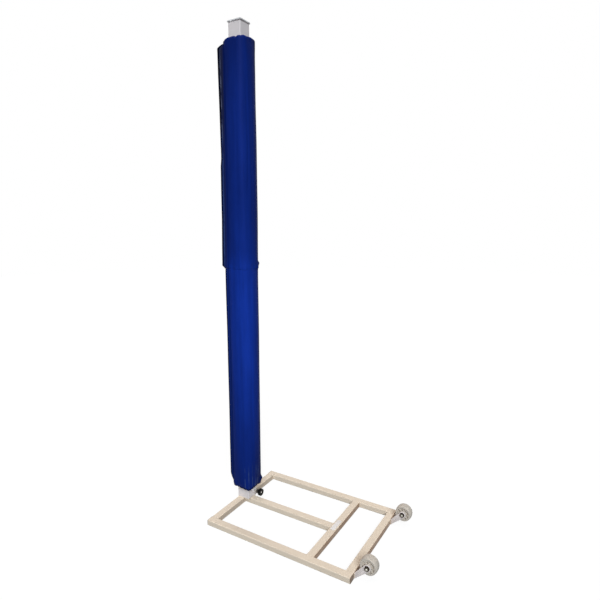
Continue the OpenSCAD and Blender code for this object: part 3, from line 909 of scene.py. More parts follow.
def ring_mesh(name, points, run, total, climb):
    """A closed skin from rings that go up outside and down inside, with its UVs in metres."""
    levels, count = points.shape[:2]
    here = np.arange(levels)[:, None] * count + np.arange(count)[None, :]
    side = np.roll(here, -1, 1)
    faces = np.stack([here, side, np.roll(side, -1, 0), np.roll(here, -1, 0)], 2).reshape(-1, 4)
    mesh = bpy.data.meshes.new(name)
    mesh.from_pydata(points.reshape(-1, 3).tolist(), [], faces.tolist())
    u = np.append(run, total)
    v = np.append(climb, climb[-1] + 0.02)
    k, j = np.meshgrid(np.arange(levels), np.arange(count), indexing="ij")
    corners = ((0, 0), (1, 0), (1, 1), (0, 1))
    spots = np.stack([np.stack([u[j + a], v[k + b]], 2) for a, b in corners], 2)
    layer = mesh.uv_layers.new(name="cloth")
    layer.data.foreach_set("uv", spots.reshape(-1).astype(np.float32))
    return piece_of(mesh, name)


def points_of(mesh, what="co"):
    """The places or the normals of all points of a mesh."""
    values = np.zeros(len(mesh.vertices) * 3, np.float32)
    mesh.vertices.foreach_get(what, values)
    return values.reshape(-1, 3)


# How much longer the cover's cloth is cut than its foam, across and upwards.
CUT_LARGER = np.array((1.012, 1.012, 1.006))
CLOTH_STEPS = 20


def swell_cover(piece, held, furthest, sink=0.5 * MM):
    """Blows the cover off its foam with a short cloth run and keeps the folds.

    No point may move further than given, nor sink into the foam by more than the last value.
    """
    scene, mesh = bpy.context.scene, piece.data
    start, outward = points_of(mesh), points_of(mesh, "normal")
    group = piece.vertex_groups.new(name="held")
    for weight in np.unique(held):
        if weight > 0:
            group.add(np.nonzero(held == weight)[0].tolist(), float(weight), "REPLACE")
    piece.shape_key_add(name="as_sewn")
    cut = piece.shape_key_add(name="as_cut")
    cut.data.foreach_set("co", (start * CUT_LARGER).astype(np.float32).reshape(-1))
    cut.value = 0.0
    cloth = piece.modifiers.new("Cover", "CLOTH")
    rules = cloth.settings
    rules.quality = 6
    rules.mass = 0.35
    rules.tension_stiffness = 40
    rules.compression_stiffness = 40
    rules.shear_stiffness = 15
    rules.bending_stiffness = 2
    rules.use_pressure = True
    rules.uniform_pressure_force = 4
    rules.vertex_group_mass = "held"
    rules.effector_weights.gravity = 0
    rules.rest_shape_key = cut
    cloth.point_cache.frame_start = 1
    cloth.point_cache.frame_end = CLOTH_STEPS
    for step in range(1, CLOTH_STEPS + 1):
        scene.frame_set(step)
    shaped = piece.evaluated_get(bpy.context.evaluated_depsgraph_get())
    after = points_of(shaped.data)
    piece.modifiers.remove(cloth)
    piece.shape_key_clear()
    scene.frame_set(1)
    move = np.nan_to_num(after - start, posinf=0.0, neginf=0.0)
    size = np.linalg.norm(move, axis=1, keepdims=True)
    move *= furthest * np.tanh(size / furthest) / np.maximum(size, 1e-9)
    depth = (move * outward).sum(1, keepdims=True)
    move -= outward * np.minimum(depth + sink, 0.0)
    mesh.vertices.foreach_set("co", (start + move).reshape(-1))
    piece.vertex_groups.clear()
    mesh.update()


# Painted light along each pad: how bright the cloth is painted at heights in metres, brightest near
# the middle of the post and darker towards the hem and the top.
LOWER_PAINTED_LIGHT = ((0.08, 0.40), (0.25, 0.43), (0.42, 0.54), (0.67, 0.72), (0.88, 0.85),
             (1.08, 0.96), (1.30, 0.88))
UPPER_PAINTED_LIGHT = ((1.33, 0.93), (1.40, 0.84), (1.48, 0.62), (1.77, 0.53), (1.95, 0.57),
             (2.20, 0.58), (2.48, 0.38))

# Painted light and shade round the pad: how bright the cloth is painted at millimetres from the
# corner between +X and -Y, brightest at that corner and darker where the cloth turns from the
# light.
ROUND_PAINTED_SHADE = ((-60, 0.85), (-15, 0.97), (12, 1.0), (46, 0.93), (72, 0.70), (96, 0.38), (122, 0.5))

# Width of the upper flap from its foot to its head, as shares of its height and of its full width.
FLAP_HEIGHTS = (0.0, 0.10, 0.23, 0.36, 0.46, 0.495, 0.515, 0.56, 0.70, 0.85, 1.0)
FLAP_WIDTHS = (1.0, 0.98, 0.91, 0.92, 0.91, 0.80, 0.80, 0.82, 0.87, 0.97, 1.0)


class PadShape:
    """One pad's levels: where each ring lies and how far folds and holding reach there."""

    def __init__(self, node, settings):
        low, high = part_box(node)
        self.bottom, self.top = low.z, high.z
        self.side, self.corner = settings.side / 2, settings.corner
        self.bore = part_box("post")[1].x + 0.3 * MM
        self.bow = settings.bow
        self.section = PadSection()
        self.rows = []

    def add(self, height, half, corner, flap=0.0, share=1.0, held=0.0):
        self.rows.append((height, half, corner, flap, share, held))

    def add_inner(self, height, half, corner=1 * MM, flap=0.0):
        """A ring out of sight, that no fold moves."""
        self.add(height, half, corner, flap, share=0, held=1)

    def round_top(self, radius, turns, half, share, flap_at):
        """Rounds the pad over at its top, its corners by a share of that."""
        for turn in map(math.radians, turns):
            cut = radius * (1 - math.cos(turn))
            z = self.top - radius + radius * math.sin(turn)
            self.add(z, half - cut, self.corner - share * cut, flap_at(z), held=1)

    def line_bore(self, down):
        """Leads the skin back down its bore, from that far below the top."""
        for z in np.linspace(self.top - down, self.bottom + 40 * MM, 10):
            self.add_inner(z, self.bore)

    def bowed(self, turn):
        """How far the flat sides bow out."""
        return self.bow * (0.5 + 0.5 * np.cos(np.radians(4 * turn)))

    def build(self, name, flap, offset, rise):
        """Sews the rings into a skin that is pushed out and lifted as the functions say."""
        section = self.section
        height, half, corner, self.flaps, self.share, held = np.array(self.rows, float).T
        nominal = section.rings(self.side, 40 * MM, flap)[0]
        step = np.linalg.norm(np.roll(nominal, -1, 0) - nominal, axis=1)
        self.run = np.concatenate([[0], np.cumsum(step)[:-1]])
        self.total = float(step.sum())
        self.turn = np.degrees(np.arctan2(nominal[:, 1], nominal[:, 0])) % 360
        share = self.share[:, None]
        z, run, turn = height[:, None], self.run[None, :], self.turn[None, :]
        rings = section.rings(half, corner, self.flaps)
        push = offset(z, run, turn, self.total) * share
        rings = rings + outward_of(rings) * push[..., None]
        tall = z + rise(z, rings, run, turn, self.total) * share
        self.points = np.concatenate([rings, tall[..., None]], 2)
        span = np.linalg.norm(np.diff(np.stack([half, height], 1), axis=0), axis=1)
        climb = height[0] + np.concatenate([[0], np.cumsum(span)])
        self.piece = ring_mesh(name, self.points, self.run, self.total, climb)
        self.held = np.repeat(held, section.count).reshape(-1, section.count)
        stiff = (self.share > 0) & (self.flaps > 4 * MM)
        fin = self.held[stiff, section.fin_start:]
        self.held[stiff, section.fin_start:] = np.maximum(fin, 0.92)
        return self


def spread_heights(stops):
    """Heights through the (height, step) stops, each stretch filled at its own step."""
    heights = []
    for (a, step), (b, _) in zip(stops, stops[1:]):
        count = max(1, round(abs(b - a) / step))
        heights += [a + (b - a) * k / count for k in range(count)]
    return [*heights, stops[-1][0]]


def lower_pad(settings):
    """The lower pad's cover: turned in under its gathered hem and rounded over at its top."""
    shape = PadShape("lower_pad_cover", settings)
    bottom, top, flap = shape.bottom, shape.top, settings.lower_flap
    shape.add_inner(bottom + 9 * MM, shape.bore)
    for half, up, radius in ((42, 8.0, 9), (47, 6.0, 14), (52, 4.2, 20), (57, 2.6, 26)):
        shape.add(bottom + up * MM, half * MM, radius * MM, share=0.5, held=1)
    shape.add(bottom + 1.2 * MM, 60.5 * MM, 33 * MM, share=0.9, held=1)
    shape.add(bottom + 0.4 * MM, 62.3 * MM, 35 * MM, held=1)

    def half_at(z):
        up = z - bottom
        swell = 1.1 * MM + 1.6 * MM * smooth(up / (top - bottom) * 2 - 1)
        waist = -1.0 * MM * hump(up, 62 * MM, 20 * MM)
        hem = -3.4 * MM * (1 - smooth(up / (20 * MM)))
        return shape.side + swell + waist + hem

    stops = [(bottom + 1.6 * MM, 3 * MM), (bottom + 60 * MM, 4.5 * MM),
             (bottom + 130 * MM, 7 * MM), (top - 60 * MM, 5 * MM), (top - 9 * MM, 3 * MM)]
    for z in spread_heights(stops):
        near_hem = 1.0 - smooth((z - bottom) / (30 * MM))
        shape.add(z, half_at(z), shape.corner - 2 * MM * near_hem,
                  flap * smooth((z - bottom - 8 * MM) / (82 * MM)),
                  held=z - bottom < 12 * MM or top - z < 14 * MM)
    shape.round_top(8 * MM, (25, 50, 75), half_at(top - 8 * MM), 1, lambda z: flap * 0.9)
    for half, radius, tab in ((56, 30, 8), (49, 20, 3), (42, 10, 0)):
        shape.add_inner(top, half * MM, radius * MM, tab * MM)
    shape.add_inner(top, shape.bore)
    shape.line_bore(40 * MM)

    def offset(z, run, turn, total):
        up = z - bottom
        wave = uneven_wave(run, total, settings.gathers, 11)
        gathers = np.exp(-np.clip(up - 5 * MM, 0, None) / (34 * MM)) * wave
        corner_puff = hump(turn, BACK_CORNER - 2, 17) * hump(up, 34 * MM, 12 * MM)
        lean = hump(turn, BACK_CORNER, 40) * smooth((1.32 - z) / 0.4)
        return (
            shape.bowed(turn) * smooth(up / 0.09)
            + settings.gather_depth * gathers
            + 1.5 * settings.crease_depth * creases(run, up, total, 26, 170 * MM, 19)
            + 6.4 * MM * corner_puff
            + 2.6 * MM * lean
            + slow_swell(z, run, total, 0.45 * MM, 0.43, 0.3, 7, 3)
        )

    def rise(z, rings, run, turn, total):
        wave = uneven_wave(run, total, settings.gathers, 11)
        wave = wave + 0.4 * uneven_wave(run, total, 9, 23)
        near = 1 - smooth((z - bottom) / (34 * MM))
        tip, right = hump(turn, FRONT_CORNER, 21), hump(turn, BACK_CORNER, 40)
        return near * (2.6 * MM * wave + 9.0 * MM * (1 - tip) - 2.0 * MM * right)

    return shape.build("lower_pad", flap, offset, rise)


def upper_pad(settings):
    """The upper pad's cover: it hangs a little over the lower one and has an uneven mouth."""
    shape = PadShape("upper_pad_cover", settings)
    bottom, top, corner = shape.bottom, shape.top, shape.corner
    skirt = 7 * MM
    shape.add_inner(bottom + 0.5 * MM, shape.bore)
    for half, radius in ((43, 12), (50, 22), (58, 32)):
        shape.add_inner(bottom + 0.5 * MM, half * MM, radius * MM)

    def half_at(z):
        share = (z - bottom) / (top - bottom)
        swell = 1.8 * MM + 1.0 * MM * (1 - smooth(share * 2))
        return shape.side + swell + 0.8 * MM * hump(z - bottom, 4 * MM, 14 * MM)

    def flap_at(z):
        share = (z - bottom) / (top - bottom)
        wide = settings.upper_flap * np.interp(share, FLAP_HEIGHTS, FLAP_WIDTHS)
        slope = 1 - np.clip((z - top + 46 * MM) / (31 * MM), 0.0, 1.0)
        foot = 1 - 0.45 * (1 - smooth((z - bottom + skirt) / (20 * MM)))
        return wide * slope * foot

    inner, tab = half_at(bottom) - 1.6 * MM, flap_at(bottom)
    shape.add(bottom + 1.0 * MM, inner - 0.8 * MM, corner - 2 * MM, tab * 0.9, 0.4, 1)
    skirt_foot = bottom - skirt
    shape.add(skirt_foot + 1.5 * MM, inner, corner - 1.6 * MM, tab * 0.93, 0.9, 1)
    shape.add(skirt_foot + 0.2 * MM, inner + 0.5 * MM, corner - 1.1 * MM, tab * 0.96, held=1)
    shape.add(skirt_foot, inner + 1.1 * MM, corner - 0.5 * MM, tab * 0.98, held=1)
    stops = [(skirt_foot + 0.8 * MM, 2.5 * MM), (bottom + 50 * MM, 6 * MM),
             (bottom + 130 * MM, 7 * MM), (top - 130 * MM, 5 * MM), (top - 50 * MM, 3 * MM),
             (top - 12 * MM, 3 * MM)]
    for z in spread_heights(stops):
        held = z - bottom < 8 * MM or top - z < 24 * MM
        shape.add(z, half_at(z), corner, flap_at(z), held=held)
    shape.round_top(10 * MM, (12, 26, 40, 54, 68, 82), half_at(top), 0.9, flap_at)
    for half, radius, down in ((51, 26, 0.0), (46, 16, 0.6), (42, 9, 2.0), (39.4, 4, 4.0)):
        shape.add(top - down * MM, half * MM, radius * MM, share=0.4, held=1)
    shape.add_inner(top - 6 * MM, shape.bore)
    shape.line_bore(50 * MM)

    def offset(z, run, turn, total):
        up, down = z - bottom, top - z
        hem = np.exp(-np.abs(up) / (20 * MM)) * uneven_wave(run, total, 17, 31)
        tab = hump(turn, BACK_CORNER - 4, 9) * hump(up, 21 * MM, 9 * MM)
        fullest = hump(z, 1.80, 0.30) * 1.2 + 0.45
        lean = hump(turn, BACK_CORNER, 40) * fullest * smooth(down / 0.25)
        return (
            shape.bowed(turn)
            + 1.0 * MM * hem
            + settings.crease_depth * creases(run, down, total, 22, 150 * MM, 37)
            + 0.6 * settings.crease_depth * creases(run, up, total, 16, 90 * MM, 29)
            + 6.0 * MM * tab
            + 2.2 * MM * lean
            + slow_swell(z, run, total, 0.5 * MM, 0.39, 0.25, 6, 41)
        )

    def rise(z, rings, run, turn, total):
        near_top = smooth((z - top + 40 * MM) / (34 * MM))
        near_hem = 1 - smooth((z - bottom) / (26 * MM))
        dip = hump(rings[..., 0], 28 * MM, 6.5 * MM) * (rings[..., 1] < -25 * MM)
        sway = uneven_wave(run, total, 9, 43)
        lift = hump((turn + 180) % 360, 180 + BACK_CORNER - 15, 66)
        drop = hump(turn, FLAP_CORNER + 3, 24)
        fold = hump(turn, FLAP_CORNER + 11, 13)
        crown = 6.0 * MM * lift - 7 * MM * drop - 9 * MM * dip + 1.0 * MM * sway
        return near_top * crown + near_hem * (1.3 * MM * sway + 3.0 * MM * fold)

    return shape.build("upper_pad", settings.upper_flap, offset, rise)


def sewn_cover(build, settings):
    shape = build(settings)
    swell_cover(shape.piece, shape.held.reshape(-1), settings.puff)
    shape.points = points_of(shape.piece.data).reshape(shape.points.shape).astype(float)
    return shape


def hem_binding(shape, levels, name, material):
    """A narrow tape that lies round the pad on the given rings."""
    flat, tall = shape.points[levels, :, :2], shape.points[levels, :, 2:]
    out = outward_of(flat)

    def rings(which, away, up):
        return np.concatenate([flat[which] + out[which] * away, tall[which] + up], 2)

    band = np.concatenate([
        rings([0], -0.2 * MM, -0.3 * MM), rings(slice(None), 0.5 * MM, 0),
        rings([-1], -0.2 * MM, 0.3 * MM), rings(slice(None), -0.4 * MM, 0)[::-1]], 0)
    piece = ring_mesh(name, band, shape.run, shape.total, np.arange(len(band)) * 1.5 * MM)
    return finished(piece, name, "post_body", material, angle=60)


def flap_binding(shape, start, name, material):
    """The bound edge of a flap: a folded tape over its tip, from foot to head."""
    bound = (shape.flaps > 5 * MM) & (shape.share > 0.95) & (np.arange(len(shape.flaps)) >= start)
    rows, section = shape.points[bound], shape.section
    reach = section.tip_steps + 2
    spots = range(section.tip - reach, section.tip + reach + 1)
    out = outward_of(rows[..., :2])[:, spots]
    outside, inside = rows[:, spots], rows[:, spots]
    outside[..., :2] += out * 0.55 * MM
    inside[..., :2] -= out * 0.3 * MM
    rings = np.concatenate([outside, inside[:, ::-1]], 1)
    levels, count = rings.shape[:2]
    here = np.arange(levels - 1)[:, None] * count + np.arange(count)[None, :]
    side = np.roll(here, -1, 1)
    faces = np.stack([here, side, side + count, here + count], 2).reshape(-1, 4).tolist()
    half = count // 2
    for base in (0, (levels - 1) * count):
        for k in range(half - 1):
            near, far = base + k, base + count - 1 - k
            quad = [near, far, far - 1, near + 1]
            faces.append(quad if base else quad[::-1])
    mesh = bpy.data.meshes.new(name)
    mesh.from_pydata(rings.reshape(-1, 3).tolist(), [], faces)
    across = np.concatenate([np.arange(half), np.arange(half)[::-1]]) * 2 * MM
    layer = mesh.uv_layers.new(name="cloth")
    for loop in mesh.loops:
        spot = loop.vertex_index
        layer.data[loop.index].uv = (rings[spot // count, 0, 2], across[spot % count])
    piece = piece_of(mesh, name)
    edit(piece)
    bpy.ops.mesh.normals_make_consistent(inside=False)
    leave_edit()
    return finished(piece, name, "post_body", material, angle=60)


def foam_sleeve(node, name, material):
    """A square sleeve of foam with rounded corners, inside a cover."""
    low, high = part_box(node)
    piece = box_piece(low, high)
    edit(piece)
    bevel(piece, upright, 37 * MM, 8)
    leave_edit()
    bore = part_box("post")[1].x + 2.1 * MM
    cut_away(piece, square_piece(bore, low.z - 10 * MM, high.z + 10 * MM))
    round_edges(piece, 1.5 * MM, 2, 60.0)
    return finished(piece, name, "post_body", material, [node])


def pad_marks(shape):
    """Places round the pad of its flap's tip and its front corner."""
    corner = int(np.argmin(np.abs(shape.turn - FRONT_CORNER)))
    return shape.run[shape.section.tip], shape.run[corner]


def dress_cover(level, shape, settings, folds, fold_top, painted_light, band):
    """Finishes a cover with its stitches, fold lines and painted light and shade, and puts it on
    the post.
    """
    apex, corner = pad_marks(shape)
    stitch = getattr(settings, f"{level}_flap") * STITCH_SHARE
    # Painted light and shade round the pad, with the sides and back that turn from the light
    # painted darker.
    shade_round_pad = [(corner + away * MM, bright) for away, bright in ROUND_PAINTED_SHADE]
    shade_round_pad = [(0.0, 0.78), *shade_round_pad, (shape.total, 0.66)]
    vinyl = vinyl_finish(f"blue_vinyl_{level}", settings.vinyl_colour,
                         (apex - stitch, apex + stitch), folds, fold_top, painted_light, band, shade_round_pad)
    cover = finished(shape.piece, f"{level}_pad", "post_body", vinyl,
                     [f"{level}_pad_cover"], 75)


def fill_cover(level):
    """The foam and the closing strip inside a cover."""
    foam_sleeve(f"{level}_pad_foam", f"{level}_foam_sleeve", foam_finish())
    softened(f"{level}_pad_strip", 0.5 * MM, f"{level}_closing_tape", "post_body",
             tape_finish())


class VOLLEYBALL_POST_OT_lower_pad(bpy.types.Operator):
    """Models the lower pad's cover with its gathered hem, and its foam and closing tape."""

    bl_idname = "volleyball_post.lower_pad"
    bl_label = "Lower pad"

    def execute(self, context):
        settings = context.scene.post_pads
        shape = sewn_cover(lower_pad, settings)
        apex, corner = pad_marks(shape)
        # The pale lines at these pleats are partly wear and partly painted highlight.
        pleats = [corner + away * MM for away in (-22, -1, 21, 43, 50, 64)]
        # The band is painted shade on the flap's face.
        band = (apex, apex + 14 * MM, (0.005, 0.014, 0.085), 0.6, 0.6)
        dress_cover("lower", shape, settings, pleats, 0.30, LOWER_PAINTED_LIGHT, band)
        webbing = webbing_finish("hem_webbing_lower", (0.006, 0.014, 0.075))
        hem_binding(shape, range(6, 10), "lower_hem_tape", webbing)
        flap_binding(shape, 7, "lower_flap_tape", webbing)
        fill_cover("lower")
        return {"FINISHED"}


class VOLLEYBALL_POST_OT_upper_pad(bpy.types.Operator):
    """Models the upper pad's cover with its wide flap, and its foam and closing tape."""

    bl_idname = "volleyball_post.upper_pad"
    bl_label = "Upper pad"

    def execute(self, context):
        settings = context.scene.post_pads
        shape = sewn_cover(upper_pad, settings)
        apex, _ = pad_marks(shape)
        folds = (apex - 13 * MM, apex + 13 * MM)
        # The band is painted shade on the flap's face, stronger high up.
        band = (apex, apex + 22 * MM, (0.008, 0.010, 0.036), 0.65, 0.95)
        dress_cover("upper", shape, settings, folds, 3.0, UPPER_PAINTED_LIGHT, band)
        webbing = webbing_finish("flap_webbing_upper", (0.005, 0.010, 0.050))
        flap_binding(shape, 8, "upper_flap_tape", webbing)
        fill_cover("upper")
        return {"FINISHED"}


# ---------- frame and post ----------


class VOLLEYBALL_POST_OT_painted_steel(bpy.types.Operator):
    """Paints the rails, the foot, the spigot and the post."""

    bl_idname = "volleyball_post.painted_steel"
    bl_label = "Painted steel"

    def execute(self, context):
        paint = context.scene.post_paint
        cream = paint_finish("cream_paint", paint.frame_colour, paint.chips, mottle=0.09,
                             side_shade=1.0)
        for node in (*RAILS, "foot_plate", "spigot"):
            paint_node(node, cream)
        white = paint_finish("post_paint", paint.post_colour, 0.12, gloss=0.36, mottle=0.05)
        paint_node("post", white)
        softened("lock_boss", 0.6 * MM, "lock_boss_turned", "post_body", white)
        plastic = moulded_finish("plug_plastic", (0.24, 0.165, 0.115), gloss=0.5, dust=0.2,
                                 specular=0.2)
        for side in SIDES:
            for end in ("front", "rear"):
                softened(f"{side}_{end}_plug", 0.6 * MM, f"{side}_{end}_end_cap", "base",
                         plastic)
        return {"FINISHED"}


def weld_drop(steps, size, at=(0, 0, 0), turn=0.0):
    """A small rounded drop of weld."""
    clear_selection()
    bpy.ops.mesh.primitive_uv_sphere_add(
        segments=steps, ring_count=6, radius=0.5, location=at, scale=size, rotation=(turn, 0, 0))
    return bpy.context.object


def bead(start, end, up, settings):
    """One weld bead between two points, its ripples like a row of coins."""
    start, end, up = Vector(start), Vector(end), Vector(up).normalized()
    along = (end - start).normalized()
    length = (end - start).length
    count = max(2, int(length / settings.bead_pitch))
    width = settings.bead_width
    piece = weld_drop(10, (settings.bead_pitch * 2.1, width, width * 0.42))
    settle(piece)
    row = piece.modifiers.new("Ripples", "ARRAY")
    row.use_relative_offset = False
    row.use_constant_offset = True
    row.constant_offset_displace = (length / count, 0, 0)
    row.count = count + 1
    apply_all(piece)
    matrix = Matrix((along, up.cross(along), up)).transposed().to_4x4()
    matrix.translation = start
    seat(piece, matrix)
    return piece


def frame_seams():
    """Where the frame is welded, as (start, end, up) in metres."""
    front, cross, rear, middle, side, plate = (
        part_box(node) for node in ("front_rail", "cross_rail", "rear_rail", "middle_rail",
                                  "near_side_rail", "foot_plate"))
    top = side[1].z - 0.9 * MM
    inner, half = -side[1].y, middle[1].y
    margin, out = 3 * MM, 1 * MM
    seams = []

    def upright_seam(x, y, face, away, foot=3 * MM):
        seams.append(((x, y, foot), (x, y, top - 2 * MM), (face, away, 0)))

    def level_seam(start, end, up=(0, 0, 1), z=top):
        seams.append(((*start, z), (*end, z), up))

    for sign in (-1, 1):
        y = sign * inner
        for rail in (front, cross, rear):
            level_seam((rail[0].x + margin, y), (rail[1].x - margin, y))
        for x, face in ((front[1].x, 1), (cross[0].x, -1), (cross[1].x, 1), (rear[0].x, -1)):
            upright_seam(x + face * out, y - sign * out, face, -sign)
        for x, face in ((middle[0].x, 1), (middle[1].x, -1)):
            upright_seam(x + face * out, sign * (half + out), face, sign)
        y = sign * (plate[1].y + 0.8 * MM)
        level_seam((plate[0].x + margin, y), (front[1].x - margin, y), (0, sign, 1.2),
                   top + 1.2 * MM)
    for x in (middle[0].x, middle[1].x):
        level_seam((x, -half + margin), (x, half - margin))
    x = plate[1].x + 0.8 * MM
    level_seam((x, -half + margin), (x, half - margin), (1, 0, 1.2), top + 1.2 * MM)
    for kind in ("near_outer", "near_inner", "far_inner", "far_outer"):
        low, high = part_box(f"{kind}_bracket")
        for y, face in ((low.y, -1), (high.y, 1)):
            upright_seam(low.x + out, y + face * out, 1, face, 4 * MM)
    return seams


class VOLLEYBALL_POST_OT_welds(bpy.types.Operator):
    """Lays the weld beads at the frame's joints, round the foot plate and round the boss."""

    bl_idname = "volleyball_post.welds"
    bl_label = "Weld beads"

    def execute(self, context):
        paint = context.scene.post_paint
        beads = [bead(*seam, paint) for seam in frame_seams()]
        cream = [part * 0.96 for part in paint.frame_colour]
        weld = paint_finish("weld_paint", cream, 0.2, 0.4, side_shade=0.7)
        finished(join(beads), "frame_welds", "base", weld, angle=60)
        low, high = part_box("lock_boss")
        radius = (high.z - low.z) / 2
        count = round(2 * math.pi * radius / paint.bead_pitch)
        reach, middle = radius + 0.5 * MM, (low.z + high.z) / 2
        drops = []
        for k in range(count):
            turn = 2 * math.pi * k / count
            at = (low.x + 0.7 * MM, reach * math.cos(turn), middle + reach * math.sin(turn))
            drops.append(weld_drop(8, (3.0 * MM, 4.2 * MM, paint.bead_pitch * 2.0), at, turn))
        white = [part * 0.95 for part in paint.post_colour]
        weld = paint_finish("boss_weld_paint", white, 0.1, 0.4)
        finished(join(drops), "boss_weld", "post_body", weld, angle=60)
        return {"FINISHED"}


class VOLLEYBALL_POST_OT_cap(bpy.types.Operator):
    """Models the cap: a rounded plate with a shallow dished top, a cord notch and a hollow plug."""

    bl_idname = "volleyball_post.cap"
    bl_label = "Post cap"

    def execute(self, context):
        low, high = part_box("post_cap")
        under = high.z - 7 * MM
        piece = box_piece((low.x, low.y, under), high)
        edit(piece)
        bevel(piece, upright, 4 * MM, 6)
        bevel(piece, lambda e: min(v.co.z for v in e.verts) > high.z - 0.1 * MM, 1.6 * MM, 4)
        bevel(piece, lambda e: max(v.co.z for v in e.verts) < under + 0.1 * MM, 0.8 * MM, 2)
        leave_edit()
        notch = cylinder(3.5 * MM, 20 * MM, 32, high.z - 15 * MM)
        seat(notch, Matrix.Translation((-18 * MM, low.y, 0)))
        cut_away(piece, notch)
        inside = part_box("post")[1].x - 3 * MM
        recess = square_piece(inside + 0.5 * MM, high.z - 0.9 * MM, high.z + 5 * MM)
        round_edges(recess, 1.5 * MM, 3)
        cut_away(piece, recess)
        plug = square_piece(inside, low.z, under + 1 * MM)
        round_edges(plug, 2 * MM, 3)
        hollow = square_piece(inside - 3 * MM, low.z - 5 * MM, low.z + 20 * MM)
        round_edges(hollow, 1 * MM)
        cut_away(plug, hollow)
        cap = moulded_finish("cap_plastic", (0.80, 0.785, 0.79), gloss=0.42, dust=0.05)
        finished(join([piece, plug]), "cap_moulding", "post_body", cap,
                 ["post_cap"])
        return {"FINISHED"}


class VOLLEYBALL_POST_OT_label(bpy.types.Operator):
    """Lays the blank film label on the cross rail."""

    bl_idname = "volleyball_post.label"
    bl_label = "Label"

    def execute(self, context):
        piece = box_piece(*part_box("label"))
        edit(piece)
        bevel(piece, upright, 2.5 * MM, 5)
        leave_edit()
        round_edges(piece, 0.12 * MM, 2, 60.0)
        film = moulded_finish("label_film", (0.86, 0.82, 0.80), gloss=0.3, dust=0.1, flow=0.03)
        finished(piece, "blank_label", "base", film, ["label"])
        return {"FINISHED"}


# ---------- post lock ----------


class VOLLEYBALL_POST_OT_lock(bpy.types.Operator):
    """Models the lock: the threaded stud, its jam nut and the grooved knob."""

    bl_idname = "volleyball_post.lock"
    bl_label = "Post lock"

    def execute(self, context):
        lock = context.scene.post_lock
        steel = metal_finish("stud_steel", (0.66, 0.64, 0.60), (0.28, 0.24, 0.18), 0.3, 0.34)
        low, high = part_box("lock_stud")
        axis = Matrix.Translation((0, 0, (low.z + high.z) / 2)) @ ALONG_X
        radius = (high.z - low.z) / 2
        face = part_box("post")[1].x
        pin, length = face - low.x, high.x + 0.4 * MM - face
        profile = [(0, -pin), (2.5 * MM, -pin), (2.5 * MM, 0), (radius - 1.2 * MM, 0)]
        profile += thread_profile(radius, 0.6 * MM, length - 1.2 * MM, lock.thread_pitch)
        profile += [(radius - 1.6 * MM, length), (0, length)]
        stud = turned(profile, "threaded_stud", 40)
        seat(stud, Matrix.Translation((face, 0, 0)) @ axis)
        finished(stud, "threaded_stud", "clamp_screw", steel, ["lock_stud"], 40)
        paint_node("pressure_pad", steel)

        dark = metal_finish("black_oxide", (0.16, 0.145, 0.13), (0.12, 0.08, 0.05), 0.35, 0.40)
        low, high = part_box("jam_nut")
        nut = nut_piece(lock.nut_width, high.x - low.x, 6.05 * MM, "jam_nut_forged")
        seat(nut, Matrix.Translation((low.x, 0, 0)) @ axis @ about("Z", 30))
        finished(nut, "jam_nut_forged", "clamp_screw", dark, ["jam_nut"])

        low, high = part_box("lock_knob")
        radius = (high.z - low.z) / 2
        rim = 15 * MM
        neck = rim - (high.x - low.x)
        edge = [(radius - 1.4 * MM, 0), (radius - 0.4 * MM, 0.4 * MM), (radius, 1.4 * MM)]
        profile = [
            (0, neck), (10 * MM, neck), (11 * MM, neck + 1 * MM), (11 * MM, -0.3 * MM),
            (12 * MM, 0), *edge, *((r, rim - z) for r, z in reversed(edge)),
            (radius - 3 * MM, rim - 0.3 * MM), (radius - 4.2 * MM, rim - 1 * MM),
            (10.4 * MM, rim - 1.2 * MM), (9.4 * MM, rim - 1.7 * MM), (9 * MM, rim - 3 * MM),
            (0, rim - 3 * MM)]
        knob = turned(profile, "lock_knob_moulding", 160)
        self.cut_grooves(knob, radius, lock)
        seat(knob, Matrix.Translation((high.x - rim, 0, 0)) @ axis)
        black = moulded_finish("knob_plastic", lock.knob_colour, gloss=0.40, dust=0.0,
                               specular=0.08)
        finished(knob, "lock_knob_moulding", "clamp_screw", black, ["lock_knob"])
        return {"FINISHED"}

    def cut_grooves(self, knob, radius, lock):
        """Presses the finger grooves into the turned knob's edge."""
        centre = radius + lock.groove - 1.4 * MM
        step = 2 * math.pi / lock.grooves
        for point in knob.data.vertices:
            reach = math.hypot(point.co.x, point.co.y)
            turn = (math.atan2(point.co.y, point.co.x) + step / 2) % step - step / 2
            inside = lock.groove ** 2 - (centre * math.sin(turn)) ** 2
            if reach < 12.1 * MM or inside <= 0:
                continue
            wall = min(radius, centre * math.cos(turn) - math.sqrt(inside))
            share = min(1.0, (reach - 12 * MM) / (5 * MM))
            shrink = 1 - (1 - wall / radius) * share
            point.co.x *= shrink
            point.co.y *= shrink


# ---------- wheels ----------


